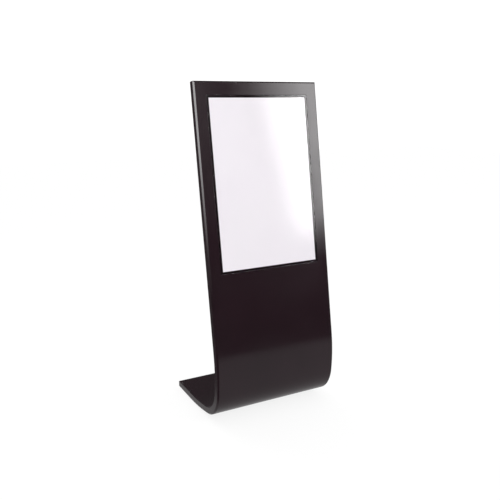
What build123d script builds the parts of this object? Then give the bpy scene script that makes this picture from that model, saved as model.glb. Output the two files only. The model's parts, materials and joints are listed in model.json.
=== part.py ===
from build123d import *
from math import cos, radians, sin, sqrt
import os

# A free-standing touchscreen kiosk: one thin slab that leans back, curves under at the foot and runs
# on as its own base.  Millimetres.  +Z is up, the screen faces -Y, and X runs to the right for
# somebody who faces the screen.  The origin is on the floor, under the middle of the whole object.

# ---------------------------------------------------------------- driving dimensions
BODY_WIDTH = 700.0
BODY_DEPTH = 38.0          # thickness of slab and base, outer skin to rear skin
BODY_LENGTH = 556.0        # foremost point of the curve to the rear wall of the base
SLANT_HEIGHT = 1760.0      # up the front, from where its plane would meet the underside
LEAN = 9.5                 # degrees that the slab leans back
SHIN_RADIUS = 830.0        # the curve is three tangent arcs: shin, toe and heel
TOE_RADIUS = 180.0
HEEL_RADIUS = 1230.0
TOE_FROM = 10.5            # degrees turned from the flat underside where the toe arc starts
TOE_TO = 84.0              # and where it ends
EDGE_BEVEL = 7.5
GROUND_CLEARANCE = 3.0

SCREEN_WIDTH = 549.0
SCREEN_HEIGHT = 857.5
SCREEN_TOP_BORDER = 81.0

# ---------------------------------------------------------------- sheet, gaps and screws
SHELL_WALL = 2.0
REAR_SHEET = 1.5
SHEET_GAP = 0.6            # between a rear sheet and the shell's walls
LIP_WIDTH = 14.0           # welded lip inside the shell, which the rear sheets lie on
LIP_THICKNESS = 2.0
LIP_GAP = 0.2
WELD_GAP = 0.2             # a piece fixed inside the shell stands this far off the shell's skin
CUT_PAST = 1.0             # a hole's cutter runs this far past the faces that it cuts

SCREW_RADIUS = 2.0
SCREW_HOLE_RADIUS = 2.15
SCREW_HEAD_RADIUS = 3.8
SCREW_HEAD_HEIGHT = 1.6
SCREW_CROWN = 0.7          # rounding of the head, as a share of its height
SOCKET_FLOOR = 0.4         # floor of the head's hexagon socket, as a share of its height
SOCKET_SHARE = 0.38        # socket's radius, as a share of the head's
CURVED_SEAT_LIFT = 0.08    # a flat screw head rests this far above the hollow of the curve

HALF_WIDTH = BODY_WIDTH / 2
INNER_HALF_WIDTH = HALF_WIDTH - SHELL_WALL
INNER_TOP = SLANT_HEIGHT - SHELL_WALL
REAR_SHEET_DEPTH = BODY_DEPTH - REAR_SHEET
LIP_BACK = REAR_SHEET_DEPTH - LIP_GAP
LIP_FRONT = LIP_BACK - LIP_THICKNESS
SIDES = {"left": -1, "right": 1}

# ---------------------------------------------------------------- power inlet and switch
INLET_PROUD = 2.0          # the flanges stand this far behind the rear wall
INLET_HEIGHT = 25.0        # centre of inlet and switch above the floor
INLET_X = 0.0
INLET_BODY = (27.0, 21.0, 20.0)
INLET_FLANGE = (48.0, INLET_PROUD, 26.0)
INLET_FLANGE_CORNER = 4.0
INLET_SOCKET = (24.4, 17.0, 16.6)
INLET_SOCKET_BEVEL = 4.5   # the socket's two upper corners
INLET_PINS = {"earth": (0.0, 3.0), "live": (-7.0, -2.0), "neutral": (7.0, -2.0)}
PIN_BLADE = (2.0, 11.0, 4.0)
PANEL_GAP = 0.2            # round a body in its panel hole
PANEL_CUT = 20.0

SWITCH_X = 46.0
SWITCH_BODY = (17.0, 18.0, 23.0)
SWITCH_FLANGE = (21.0, INLET_PROUD, 26.0)
SWITCH_FLANGE_CORNER = 2.0
SWITCH_OPENING = (13.0, 20.4)
SWITCH_HOLLOW = 15.0       # from the rear wall to the floor of the switch's opening
SWITCH_PIVOT_DEPTH = 3.2
SWITCH_PIVOT_RADIUS = 1.2
SWITCH_PIVOT_REACH = 7.5   # from the middle of the rocker to the end of each pivot
SWITCH_PIVOT_GAP = 0.1
SWITCH_TILT = 9.0
ROCKER_HALF_WIDTH = 6.1
ROCKER_HALF_HEIGHT = 9.2
ROCKER_ENDS = 3.5          # the rocker's ends, dished middle, back and keel, outward from its pivot
ROCKER_DISH = 1.6
ROCKER_BACK = -1.5
ROCKER_KEEL = -6.5


# ---------------------------------------------------------------- the side profile
def outward(turn):
    """Unit vector square to the skin, after the skin has turned this many degrees from flat."""
    return Vector(0, -sin(radians(turn)), -cos(radians(turn)))


FRONT_Y = -(BODY_LENGTH + INLET_PROUD) / 2
REAR_Y = FRONT_Y + BODY_LENGTH
HEEL_TO_TOE = outward(TOE_FROM) * (HEEL_RADIUS - TOE_RADIUS)
TOE_TO_SHIN = outward(TOE_TO) * (TOE_RADIUS - SHIN_RADIUS)
HEEL_CENTRE = Vector(
    0,
    FRONT_Y + SHIN_RADIUS - HEEL_TO_TOE.Y - TOE_TO_SHIN.Y,
    GROUND_CLEARANCE + HEEL_RADIUS,
)
TOE_CENTRE = HEEL_CENTRE + HEEL_TO_TOE
SHIN_CENTRE = TOE_CENTRE + TOE_TO_SHIN
SHIN_TO = 90 + LEAN

UP_SLOPE = Vector(0, sin(radians(LEAN)), cos(radians(LEAN)))
SHIN_TOP = SHIN_CENTRE + outward(SHIN_TO) * SHIN_RADIUS
VERTEX = SHIN_TOP - UP_SLOPE * ((SHIN_TOP.Z - GROUND_CLEARANCE) / UP_SLOPE.Z)

# The slab's own plane: x to the right, y up the slope, z out of the front face.
SLAB = Plane(origin=VERTEX, x_dir=(1, 0, 0), z_dir=outward(SHIN_TO))


def slab_point(x, slant, depth):
    """Point inside the slab: across, up the slope, and behind the front face."""
    return VERTEX + Vector(x, 0, 0) + UP_SLOPE * slant - outward(SHIN_TO) * depth


def profile_arc(centre, radius, turn_from, turn_to):
    """Arc of the side profile, between two amounts of turn."""
    turn_mid = (turn_from + turn_to) / 2
    return ThreePointArc(
        centre + outward(turn_from) * radius,
        centre + outward(turn_mid) * radius,
        centre + outward(turn_to) * radius,
    )


def profile_line(depth, top_slant, rear_y):
    """Edges of a line that keeps one depth behind the outer skin, from the base's rear to the top."""
    heel = profile_arc(HEEL_CENTRE, HEEL_RADIUS - depth, 0, TOE_FROM)
    toe = profile_arc(TOE_CENTRE, TOE_RADIUS - depth, TOE_FROM, TOE_TO)
    shin = profile_arc(SHIN_CENTRE, SHIN_RADIUS - depth, TOE_TO, SHIN_TO)
    rear = Line((0, rear_y, GROUND_CLEARANCE + depth), heel @ 0)
    front = Line(shin @ 1, slab_point(0, top_slant, depth))
    return [rear, heel, toe, shin, front]


TOUCHING = 0.01


def touches_curve(edge, curve):
    """True if the middle of an edge, seen from the side, lies on the curve."""
    middle = edge @ 0.5
    return curve.distance_to(Vertex(0, middle.Y, middle.Z)) < TOUCHING


def curved_block(near, far, half_width, top_slant=SLANT_HEIGHT, rear_y=REAR_Y, bevel=0.0):
    """Solid that follows the side profile between two depths, with the outer rim bevelled."""
    outer = profile_line(near, top_slant, rear_y)
    inner = profile_line(far, top_slant, rear_y)
    caps = [Line(outer[0] @ 0, inner[0] @ 0), Line(outer[-1] @ 1, inner[-1] @ 1)]
    block = extrude(make_face(Curve() + outer + inner + caps), amount=half_width, both=True)
    if bevel == 0:
        return block
    outer_curve = Wire(outer)
    on_skin = [edge for edge in block.edges() if touches_curve(edge, outer_curve)]
    along = [edge for edge in on_skin if abs((edge @ 0.5).X) > half_width / 2]
    across = [edge for edge in on_skin if abs((edge @ 0.5).X) < half_width / 2]
    top = max(across, key=lambda edge: (edge @ 0.5).Z)
    rear = max(across, key=lambda edge: (edge @ 0.5).Y if (edge @ 0.5).Z < far else -HALF_WIDTH)
    return chamfer(along + [top, rear], bevel)


# ---------------------------------------------------------------- small building helpers
def slab_plate(width, height, near, far, x=0.0, slant=0.0, corner=0.0):
    """Plate parallel to the front face, between two depths behind it."""
    outline = RectangleRounded(width, height, corner) if corner else Rectangle(width, height)
    return extrude(SLAB * Pos(x, slant, -far) * outline, amount=far - near)


def slab_span(x_low, x_high, slant_low, slant_high, near, far):
    """Block in the slab, given by its limits."""
    width = x_high - x_low
    height = slant_high - slant_low
    return slab_plate(width, height, near, far, (x_low + x_high) / 2, (slant_low + slant_high) / 2)


def slab_disc(radius, near, far, x, slant):
    """Cylinder square to the front face, between two depths behind it."""
    return extrude(SLAB * Pos(x, slant, -far) * Circle(radius), amount=far - near)


def slope_rod(radius, slant_low, slant_high, x, depth):
    """Cylinder that runs up the slope."""
    section = Plane(origin=slab_point(x, slant_low, depth), x_dir=(1, 0, 0), z_dir=UP_SLOPE)
    return extrude(section * Circle(radius), amount=slant_high - slant_low)


def ring(outer_width, outer_height, inner_width, inner_height, near, far, slant):
    """Flat rectangular ring parallel to the front face."""
    outer = slab_plate(outer_width, outer_height, near, far, slant=slant)
    return outer - slab_plate(inner_width, inner_height, near, far, slant=slant)


def box_span(x_low, x_high, y_low, y_high, z_low, z_high):
    """Upright block given by its limits."""
    middle = Pos((x_low + x_high) / 2, (y_low + y_high) / 2, (z_low + z_high) / 2)
    return middle * Box(x_high - x_low, y_high - y_low, z_high - z_low)


def screw(length, head_radius=SCREW_HEAD_RADIUS, head_height=SCREW_HEAD_HEIGHT, radius=SCREW_RADIUS):
    """Button-head screw with its seat at the origin, its head along +Z and a hexagon socket."""
    head = extrude(Circle(head_radius), amount=head_height)
    head = fillet(head.edges().sort_by(Axis.Z)[-1], head_height * SCREW_CROWN)
    socket = extrude(RegularPolygon(head_radius * SOCKET_SHARE, 6), amount=head_height)
    shank = Pos(0, 0, -length) * extrude(Circle(radius), amount=length)
    return head - Pos(0, 0, head_height * SOCKET_FLOOR) * socket + shank


def screw_holes(places, depth):
    """Holes for screws that seat at the given places."""
    hole = Cylinder(SCREW_HOLE_RADIUS, depth + 2 * CUT_PAST)
    return [place * Pos(0, 0, -depth / 2) * hole for place in places]


def facing_back(x, slant, depth):
    """Place on the slab whose +Z points out of the back."""
    return Plane(origin=slab_point(x, slant, depth), x_dir=(-1, 0, 0), z_dir=outward(SHIN_TO) * -1)


def group(solids):
    """Several separate solids held as one sub-part."""
    return Compound(children=list(solids))


def pair(make, places):
    """Copies of one piece at two places, as a group."""
    return group([make(place) for place in places])


# ---------------------------------------------------------------- places up the slab
SCREEN_TOP = SLANT_HEIGHT - SCREEN_TOP_BORDER
SCREEN_BOTTOM = SCREEN_TOP - SCREEN_HEIGHT
SCREEN_MID = (SCREEN_TOP + SCREEN_BOTTOM) / 2

GLASS_BORDER = 12.0
GLASS_WIDTH = SCREEN_WIDTH + 2 * GLASS_BORDER
GLASS_HEIGHT = SCREEN_HEIGHT + 2 * GLASS_BORDER
GLASS_THICKNESS = 4.0
GLASS_GAP = 0.5
GLASS_CORNER = 3.0
GASKET_THICKNESS = 1.0

SILL_TOP = 438.0           # top edge of the rear skin and of the rail under it
SILL_HEIGHT = 34.0
SILL_SHEET = 2.0
SILL_END_GAP = 0.5

LEAD_DEPTH = INLET_HEIGHT - GROUND_CLEARANCE
LEAD_RADIUS = 3.5

# ---------------------------------------------------------------- body
REAR_SCREW_X = INNER_HALF_WIDTH - LIP_WIDTH / 2
REAR_SCREW_ROWS = (REAR_Y - 40, REAR_Y - 150)
REAR_SCREW_SLANT = SILL_TOP - 18
REAR_SCREW_LENGTH = 7.0

BALLAST_THICKNESS = 30.0
BALLAST_LENGTH = 165.0
BALLAST_REAR = REAR_Y - 40
BALLAST_INNER_X = 10.0
BALLAST_OUTER_X = 330.0
BALLAST_BEVEL = 1.5
BALLAST_GAP = 0.6          # the plates lie on shims
BALLAST_BOTTOM = GROUND_CLEARANCE + SHELL_WALL + BALLAST_GAP
BALLAST_TOP = BALLAST_BOTTOM + BALLAST_THICKNESS

ANCHOR_X = 240.0
ANCHOR_ROWS = (REAR_Y - 70, REAR_Y - 170)
ANCHOR_RADIUS = 6.0

RIB_X = 200.0
RIB_DEPTH = 26.0
RIB_THICKNESS = 5.0
RIB_TOP = 770.0
RIB_BALLAST_GAP = 3.0
RIB_HOLES = 5
RIB_HOLE_RADIUS = 7.0
RIB_HOLE_PITCH = 60.0
RIB_FIRST_HOLE = SILL_TOP + 40

FEET = {"front_feet": (285.0, VERTEX.Y + 250), "rear_feet": (300.0, REAR_Y - 36)}
FOOT_RADIUS = 20.0
FOOT_BEVEL = 0.8
STUD_BOTTOM = 1.0
STUD_REACH = 6.0           # above the shell's inner face
NUT_RADIUS = 4.0
NUT_HEIGHT = 3.2
NUT_LIFT = 0.4             # a flat nut rests this far above the heel's curve


def rear_screw_places():
    """Places of the screws that hold the rear skin, as planes with +Z out of the sheet."""
    top_of_base = GROUND_CLEARANCE + BODY_DEPTH
    toe_normal = outward((TOE_FROM + TOE_TO) / 2)
    toe_seat = TOE_CENTRE + toe_normal * (TOE_RADIUS - BODY_DEPTH - CURVED_SEAT_LIFT)
    rear_row = REAR_Y - SHELL_WALL - LIP_WIDTH / 2
    places = []
    for side in SIDES.values():
        x = side * REAR_SCREW_X
        places.append(facing_back(x, REAR_SCREW_SLANT, BODY_DEPTH))
        places.append(Plane(origin=toe_seat + Vector(x, 0, 0), x_dir=(1, 0, 0), z_dir=toe_normal * -1))
        places.append(Plane((x / 2, rear_row, top_of_base)))
        for y in REAR_SCREW_ROWS:
            places.append(Plane((x, y, top_of_base)))
    return places


def anchor_holes():
    """Upright holes through the underside and the ballast, for bolting the kiosk to a floor."""
    hole = Cylinder(ANCHOR_RADIUS, BALLAST_TOP + CUT_PAST)
    return [Pos(side * ANCHOR_X, y, BALLAST_TOP / 2) * hole for side in SIDES.values() for y in ANCHOR_ROWS]


def body_shell():
    """Front, bevelled rim, side walls, curve and underside: one welded and painted tray."""
    outer = curved_block(0, BODY_DEPTH, HALF_WIDTH, bevel=EDGE_BEVEL)
    inner_bevel = EDGE_BEVEL - SHELL_WALL * (2 - sqrt(2))
    shell = outer - curved_block(
        SHELL_WALL, BODY_DEPTH, INNER_HALF_WIDTH, INNER_TOP, REAR_Y - SHELL_WALL, inner_bevel)
    shell += shell_lip()
    shell -= slab_plate(
        GLASS_WIDTH + 2 * GLASS_GAP, GLASS_HEIGHT + 2 * GLASS_GAP, -CUT_PAST, SHELL_WALL + CUT_PAST,
        slant=SCREEN_MID, corner=GLASS_CORNER + GLASS_GAP)
    shell -= panel_hole(INLET_X, INLET_BODY)
    shell -= panel_hole(SWITCH_X, SWITCH_BODY)
    shell -= screw_holes(rear_screw_places(), BODY_DEPTH - LIP_FRONT)
    shell -= anchor_holes()
    shell -= foot_screw_holes()
    return shell


def shell_lip():
    """Lip round the shell's open back, left out on the side where the door turns."""
    lip = curved_block(LIP_FRONT, LIP_BACK, INNER_HALF_WIDTH, INNER_TOP, REAR_Y - SHELL_WALL)
    lip -= curved_block(
        LIP_FRONT, LIP_BACK, INNER_HALF_WIDTH - LIP_WIDTH, INNER_TOP - LIP_WIDTH,
        REAR_Y - SHELL_WALL - LIP_WIDTH)
    return lip - slab_span(
        INNER_HALF_WIDTH - 2 * LIP_WIDTH, INNER_HALF_WIDTH, PIVOTS["lower"]["bracket"][0], INNER_TOP,
        LIP_FRONT - CUT_PAST, LIP_BACK + CUT_PAST)


def rear_skin():
    """Sheet over the lower back, the inside of the curve and the top of the base."""
    sheet = curved_block(
        REAR_SHEET_DEPTH, BODY_DEPTH, INNER_HALF_WIDTH - SHEET_GAP, SILL_TOP,
        REAR_Y - SHELL_WALL - SHEET_GAP)
    return sheet - screw_holes(rear_screw_places(), REAR_SHEET)


def rear_skin_screws():
    """Screws that hold the rear skin to the shell's lip."""
    return group([place * screw(REAR_SCREW_LENGTH) for place in rear_screw_places()])


def sill_rail():
    """Angle across the shell under the door opening, behind the edge of the rear skin."""
    half = INNER_HALF_WIDTH - LIP_WIDTH - SILL_END_GAP
    bottom = SILL_TOP - SILL_HEIGHT
    foot_front = LEAD_DEPTH + LEAD_RADIUS + SILL_SHEET
    web = slab_span(-half, half, bottom, SILL_TOP, LIP_FRONT, LIP_BACK)
    return web + slab_span(-half, half, bottom, bottom + SILL_SHEET, foot_front, LIP_BACK)


def rib(side):
    """Stiffening plate welded upright in the curve, from the base to below the screen."""
    plate = curved_block(SHELL_WALL + WELD_GAP, RIB_DEPTH, RIB_THICKNESS / 2, RIB_TOP)
    plate = Pos(side * RIB_X, 0, 0) * plate
    behind = box_span(
        side * RIB_X - RIB_THICKNESS, side * RIB_X + RIB_THICKNESS,
        BALLAST_REAR - BALLAST_LENGTH - RIB_BALLAST_GAP, REAR_Y, 0, GROUND_CLEARANCE + BODY_DEPTH)
    holes = []
    for step in range(RIB_HOLES):
        centre = slab_point(side * RIB_X, RIB_FIRST_HOLE + step * RIB_HOLE_PITCH, RIB_DEPTH / 2)
        across = Plane(origin=centre, x_dir=UP_SLOPE, z_dir=(1, 0, 0))
        holes.append(across * Cylinder(RIB_HOLE_RADIUS, 2 * RIB_THICKNESS))
    return plate - behind - holes


# ---------------------------------------------------------------- base
def ballast_plate(side):
    """Half of the steel weight that keeps the kiosk upright."""
    x_limits = sorted((side * BALLAST_INNER_X, side * BALLAST_OUTER_X))
    plate = box_span(
        *x_limits, BALLAST_REAR - BALLAST_LENGTH, BALLAST_REAR, BALLAST_BOTTOM, BALLAST_TOP)
    plate = chamfer(plate.edges().group_by(Axis.Z)[-1], BALLAST_BEVEL)
    return plate - anchor_holes()


def foot_places():
    """x and y of every foot."""
    return [(side * x, y) for x, y in FEET.values() for side in SIDES.values()]


def skin_height(y):
    """Height of the underside above the floor, on the flat or on the heel arc."""
    ahead = HEEL_CENTRE.Y - y
    if ahead <= 0:
        return GROUND_CLEARANCE
    return HEEL_CENTRE.Z - sqrt(HEEL_RADIUS ** 2 - ahead ** 2)


def foot(place):
    """Rubber pad screwed under the skin, with its top cut to the skin's curve."""
    x, y = place
    height = skin_height(y - FOOT_RADIUS) + CUT_PAST
    pad = Pos(x, y, height / 2) * Cylinder(FOOT_RADIUS, height)
    pad = chamfer(pad.edges().sort_by(Axis.Z)[0], FOOT_BEVEL)
    pad -= curved_block(0, BODY_DEPTH, HALF_WIDTH)
    return pad - Pos(x, y, 0) * Cylinder(SCREW_HOLE_RADIUS, 2 * height)


def feet(row):
    """The two feet of one row."""
    x, y = FEET[row]
    return pair(foot, [(side * x, y) for side in SIDES.values()])


def foot_screw_holes():
    """Holes for the feet's studs through the underside."""
    return [Pos(x, y, 0) * Cylinder(SCREW_HOLE_RADIUS, BODY_DEPTH) for x, y in foot_places()]


def foot_screws():
    """Studs that hold the feet, each with its nut inside the shell."""
    studs = []
    for x, y in foot_places():
        top = skin_height(y + SCREW_RADIUS) + SHELL_WALL + STUD_REACH
        seat = skin_height(y - NUT_RADIUS) + SHELL_WALL + NUT_LIFT
        stud = extrude(Plane((x, y, STUD_BOTTOM)) * Circle(SCREW_RADIUS), amount=top - STUD_BOTTOM)
        studs.append(stud + extrude(Plane((x, y, seat)) * RegularPolygon(NUT_RADIUS, 6), amount=NUT_HEIGHT))
    return group(studs)


def panel_hole(x, body):
    """Hole in the rear wall for the inlet or the switch."""
    width, _, height = body
    return Pos(x, REAR_Y, INLET_HEIGHT) * Box(width + 2 * PANEL_GAP, PANEL_CUT, height + 2 * PANEL_GAP)


def panel_body(x, body, flange, corner):
    """Block in the rear wall with a rounded flange outside it."""
    block = Pos(x, REAR_Y - body[1] / 2, INLET_HEIGHT) * Box(*body)
    rim = Pos(x, REAR_Y + INLET_PROUD / 2, INLET_HEIGHT) * Box(*flange)
    return block + fillet(rim.edges().filter_by(Axis.Y), corner)


def power_inlet():
    """Three-pin mains inlet: flange, body and the socket that a power lead plugs into."""
    mouth = REAR_Y + INLET_PROUD
    socket = Pos(INLET_X, mouth - INLET_SOCKET[1] / 2, INLET_HEIGHT) * Box(*INLET_SOCKET)
    socket = chamfer(socket.edges().filter_by(Axis.Y).group_by(Axis.Z)[-1], INLET_SOCKET_BEVEL)
    return panel_body(INLET_X, INLET_BODY, INLET_FLANGE, INLET_FLANGE_CORNER) - socket


def inlet_pins():
    """Earth, live and neutral blades in the inlet."""
    middle_y = REAR_Y + INLET_PROUD - INLET_SOCKET[1] + PIN_BLADE[1] / 2
    return group([Pos(INLET_X + x, middle_y, INLET_HEIGHT + z) * Box(*PIN_BLADE)
                  for x, z in INLET_PINS.values()])


def switch_housing():
    """Frame and body of the rocker switch."""
    width, height = SWITCH_OPENING
    hollow = box_span(
        SWITCH_X - width / 2, SWITCH_X + width / 2, REAR_Y - SWITCH_HOLLOW, REAR_Y + INLET_PROUD + CUT_PAST,
        INLET_HEIGHT - height / 2, INLET_HEIGHT + height / 2)
    housing = panel_body(SWITCH_X, SWITCH_BODY, SWITCH_FLANGE, SWITCH_FLANGE_CORNER) - hollow
    return housing - switch_pivots(SWITCH_PIVOT_RADIUS + SWITCH_PIVOT_GAP, SWITCH_PIVOT_REACH + PANEL_GAP)


def switch_pivots(radius, reach):
    """Round bar across the switch, on the axis that its rocker turns on."""
    bar = Rot(0, 90, 0) * Cylinder(radius, 2 * reach)
    return Pos(SWITCH_X, REAR_Y - SWITCH_PIVOT_DEPTH, INLET_HEIGHT) * bar


def switch_rocker():
    """Rocker, resting with its upper end pressed in."""
    top, bottom = ROCKER_HALF_HEIGHT, -ROCKER_HALF_HEIGHT
    outline = Polyline(
        (ROCKER_ENDS, top), (ROCKER_DISH, 0), (ROCKER_ENDS, bottom), (ROCKER_BACK, bottom),
        (ROCKER_KEEL, 0), (ROCKER_BACK, top), close=True)
    rocker = extrude(Plane.YZ * make_face(outline), amount=ROCKER_HALF_WIDTH, both=True)
    pivot = Pos(SWITCH_X, REAR_Y - SWITCH_PIVOT_DEPTH, INLET_HEIGHT)
    return pivot * Rot(SWITCH_TILT, 0, 0) * rocker + switch_pivots(SWITCH_PIVOT_RADIUS, SWITCH_PIVOT_REACH)


TERMINAL_BOTTOM = 455.0
CLIP_SLANT = 420.0
CLIP_ROWS = (REAR_Y - 70, REAR_Y - 130)
CLIP_HALF_WIDTH = 7.0
CLIP_HALF_LENGTH = 4.0
CLIP_WALL = 1.5
CLIP_BORE_RADIUS = LEAD_RADIUS + 0.2


def mains_lead():
    """Lead from the inlet to the terminal block, along the middle of the body."""
    line = profile_line(LEAD_DEPTH, TERMINAL_BOTTOM, REAR_Y - INLET_BODY[1])
    section = Plane(origin=line[0] @ 0, z_dir=(0, -1, 0)) * Circle(LEAD_RADIUS)
    return sweep(section, Wire(line))


def lead_clips():
    """Saddles that hold the mains lead to the skin."""
    reach = LEAD_DEPTH + LEAD_RADIUS + CLIP_WALL
    slab_clip = slab_span(
        -CLIP_HALF_WIDTH, CLIP_HALF_WIDTH, CLIP_SLANT - CLIP_HALF_LENGTH, CLIP_SLANT + CLIP_HALF_LENGTH,
        SHELL_WALL, reach)
    slab_bore = slope_rod(
        CLIP_BORE_RADIUS, CLIP_SLANT - 2 * CLIP_HALF_LENGTH, CLIP_SLANT + 2 * CLIP_HALF_LENGTH, 0, LEAD_DEPTH)
    clips = [slab_clip - slab_bore]
    for y in CLIP_ROWS:
        block = box_span(
            -CLIP_HALF_WIDTH, CLIP_HALF_WIDTH, y - CLIP_HALF_LENGTH, y + CLIP_HALF_LENGTH,
            GROUND_CLEARANCE + SHELL_WALL, GROUND_CLEARANCE + reach)
        bore = Rot(90, 0, 0) * Cylinder(CLIP_BORE_RADIUS, 3 * CLIP_HALF_LENGTH)
        clips.append(block - Pos(0, y, GROUND_CLEARANCE + LEAD_DEPTH) * bore)
    return group(clips)


# ---------------------------------------------------------------- display
FRAME_MARGIN = 33.0
FRAME_BACK = 7.0
FRAME_LEDGE = 2.0
FRAME_WINDOW_GAP = 2.0     # from the lit area to the frame's inner edge
FRAME_SEAT_GAP = 1.0       # round the glass, and round the tray behind it
CELL_INSET = 0.2
CELL_THICKNESS = 1.8
GUIDE_INSET = 1.0
GUIDE_FRONT = 6.4
GUIDE_BACK = 10.4
STRIP_X = SCREEN_WIDTH / 2 + 5
STRIP_WIDTH = 3.0
STRIP_HEIGHT = SCREEN_HEIGHT - 20
STRIP_FRONT = FRAME_BACK + 0.3
TRAY_BACK = 12.0
TRAY_WALL = 1.0
TRAY_WIDTH = GLASS_WIDTH + 2 * FRAME_SEAT_GAP
TRAY_HEIGHT = GLASS_HEIGHT + 2 * FRAME_SEAT_GAP
CHANNELS_X = (-200.0, 0.0, 200.0)
CHANNEL_WIDTH = 30.0
CHANNEL_HEIGHT = TRAY_HEIGHT - 300
CHANNEL_DEPTH = 0.4
CHANNEL_CORNER = 12.0


def glass_frame():
    """Stepped steel frame welded behind the window, which the glass lies in."""
    frame = ring(
        GLASS_WIDTH + 2 * FRAME_MARGIN, GLASS_HEIGHT + 2 * FRAME_MARGIN, SCREEN_WIDTH + 2 * FRAME_WINDOW_GAP,
        SCREEN_HEIGHT + 2 * FRAME_WINDOW_GAP, SHELL_WALL, FRAME_BACK, SCREEN_MID)
    return frame - slab_plate(TRAY_WIDTH, TRAY_HEIGHT, SHELL_WALL, FRAME_BACK - FRAME_LEDGE, slant=SCREEN_MID)


def touch_glass():
    """Toughened cover glass with the touch sensor laminated to it."""
    return slab_plate(GLASS_WIDTH, GLASS_HEIGHT, 0, GLASS_THICKNESS, slant=SCREEN_MID, corner=GLASS_CORNER)


def glass_gasket():
    """Black foam tape between the glass and its frame."""
    return ring(
        GLASS_WIDTH, GLASS_HEIGHT, SCREEN_WIDTH, SCREEN_HEIGHT, GLASS_THICKNESS,
        GLASS_THICKNESS + GASKET_THICKNESS, SCREEN_MID)


def lcd_cell():
    """Liquid-crystal cell, bonded to the back of the glass."""
    return slab_plate(
        SCREEN_WIDTH - 2 * CELL_INSET, SCREEN_HEIGHT - 2 * CELL_INSET, GLASS_THICKNESS,
        GLASS_THICKNESS + CELL_THICKNESS, slant=SCREEN_MID)


def light_guide():
    """Acrylic sheet that spreads the light of the side strips."""
    return slab_plate(
        SCREEN_WIDTH - 2 * GUIDE_INSET, SCREEN_HEIGHT - 2 * GUIDE_INSET, GUIDE_FRONT, GUIDE_BACK,
        slant=SCREEN_MID)


def backlight_tray():
    """Folded steel tray behind the light guide, with three shallow channels pressed in its back."""
    tray = slab_plate(TRAY_WIDTH, TRAY_HEIGHT, FRAME_BACK, TRAY_BACK, slant=SCREEN_MID)
    tray -= slab_plate(
        TRAY_WIDTH - 2 * TRAY_WALL, TRAY_HEIGHT - 2 * TRAY_WALL, FRAME_BACK, TRAY_BACK - TRAY_WALL,
        slant=SCREEN_MID)
    for x in CHANNELS_X:
        tray -= slab_plate(
            CHANNEL_WIDTH, CHANNEL_HEIGHT, TRAY_BACK - CHANNEL_DEPTH, TRAY_BACK, x=x, slant=SCREEN_MID,
            corner=CHANNEL_CORNER)
    return tray


def led_strips():
    """Light strips at both sides of the light guide."""
    return group([slab_plate(STRIP_WIDTH, STRIP_HEIGHT, STRIP_FRONT, GUIDE_BACK, side * STRIP_X, SCREEN_MID)
                  for side in SIDES.values()])


RAIL_SHEET = 2.0
RAIL_BACK = TRAY_BACK + 0.3
RAIL_FRONT = RAIL_BACK - RAIL_SHEET
RAIL_LEG = 26.0
RAIL_BOTTOM = 700.0
RAIL_TOP = 1735.0
RAIL_WALL_FRONT = EDGE_BEVEL + 1
BRACKET_SLANTS = {"lower": 990.0, "upper": 1480.0}
BRACKET_HEIGHT = 40.0
BRACKET_HALF = 312.0       # half length of the flanges, and of the web with its end tabs
BRACKET_END = 345.0
BRACKET_DEPTH = 12.0
BRACKET_SHEET = 1.5
BRACKET_SCREW_X = 330.0
BRACKET_SCREW_STEP = 11.0
BRACKET_SCREW_LENGTH = 4.5


def bracket_screw_places():
    """Places of the screws through the display brackets' end tabs."""
    places = []
    for slant in BRACKET_SLANTS.values():
        for side in SIDES.values():
            for step in (-BRACKET_SCREW_STEP, BRACKET_SCREW_STEP):
                places.append(facing_back(side * BRACKET_SCREW_X, slant + step, RAIL_BACK + BRACKET_SHEET))
    return places


def side_rail(side):
    """Angle welded up one side wall, which the display brackets screw to."""
    wall = INNER_HALF_WIDTH - WELD_GAP
    across_wall = sorted((side * wall, side * (wall - RAIL_SHEET)))
    across_flat = sorted((side * wall, side * (INNER_HALF_WIDTH - RAIL_LEG)))
    rail = slab_span(*across_wall, RAIL_BOTTOM, RAIL_TOP, RAIL_WALL_FRONT, RAIL_BACK)
    rail += slab_span(*across_flat, RAIL_BOTTOM, RAIL_TOP, RAIL_FRONT, RAIL_BACK)
    on_this_side = [place for place in bracket_screw_places() if place.origin.X * side > 0]
    return rail - screw_holes(on_this_side, RAIL_SHEET + BRACKET_SHEET)


def display_bracket(slant):
    """Folded channel across the slab that carries the display."""
    low = slant - BRACKET_HEIGHT / 2
    high = slant + BRACKET_HEIGHT / 2
    back = RAIL_BACK + BRACKET_DEPTH
    bracket = slab_span(-BRACKET_END, BRACKET_END, low, high, RAIL_BACK, RAIL_BACK + BRACKET_SHEET)
    for edge in (low, high - BRACKET_SHEET):
        bracket += slab_span(-BRACKET_HALF, BRACKET_HALF, edge, edge + BRACKET_SHEET, RAIL_BACK, back)
    passages = [slope_rod(LEAD_PASSAGE_RADIUS, low - CUT_PAST, high + CUT_PAST, x, PORT_DEPTH)
                for x in (DRIVER_X, TOUCH_X, SUPPLY_LEAD_X)]
    return bracket - passages - screw_holes(bracket_screw_places(), BRACKET_SHEET)


def bracket_screws():
    """Screws of the display brackets."""
    return group([place * screw(BRACKET_SCREW_LENGTH) for place in bracket_screw_places()])


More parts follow.
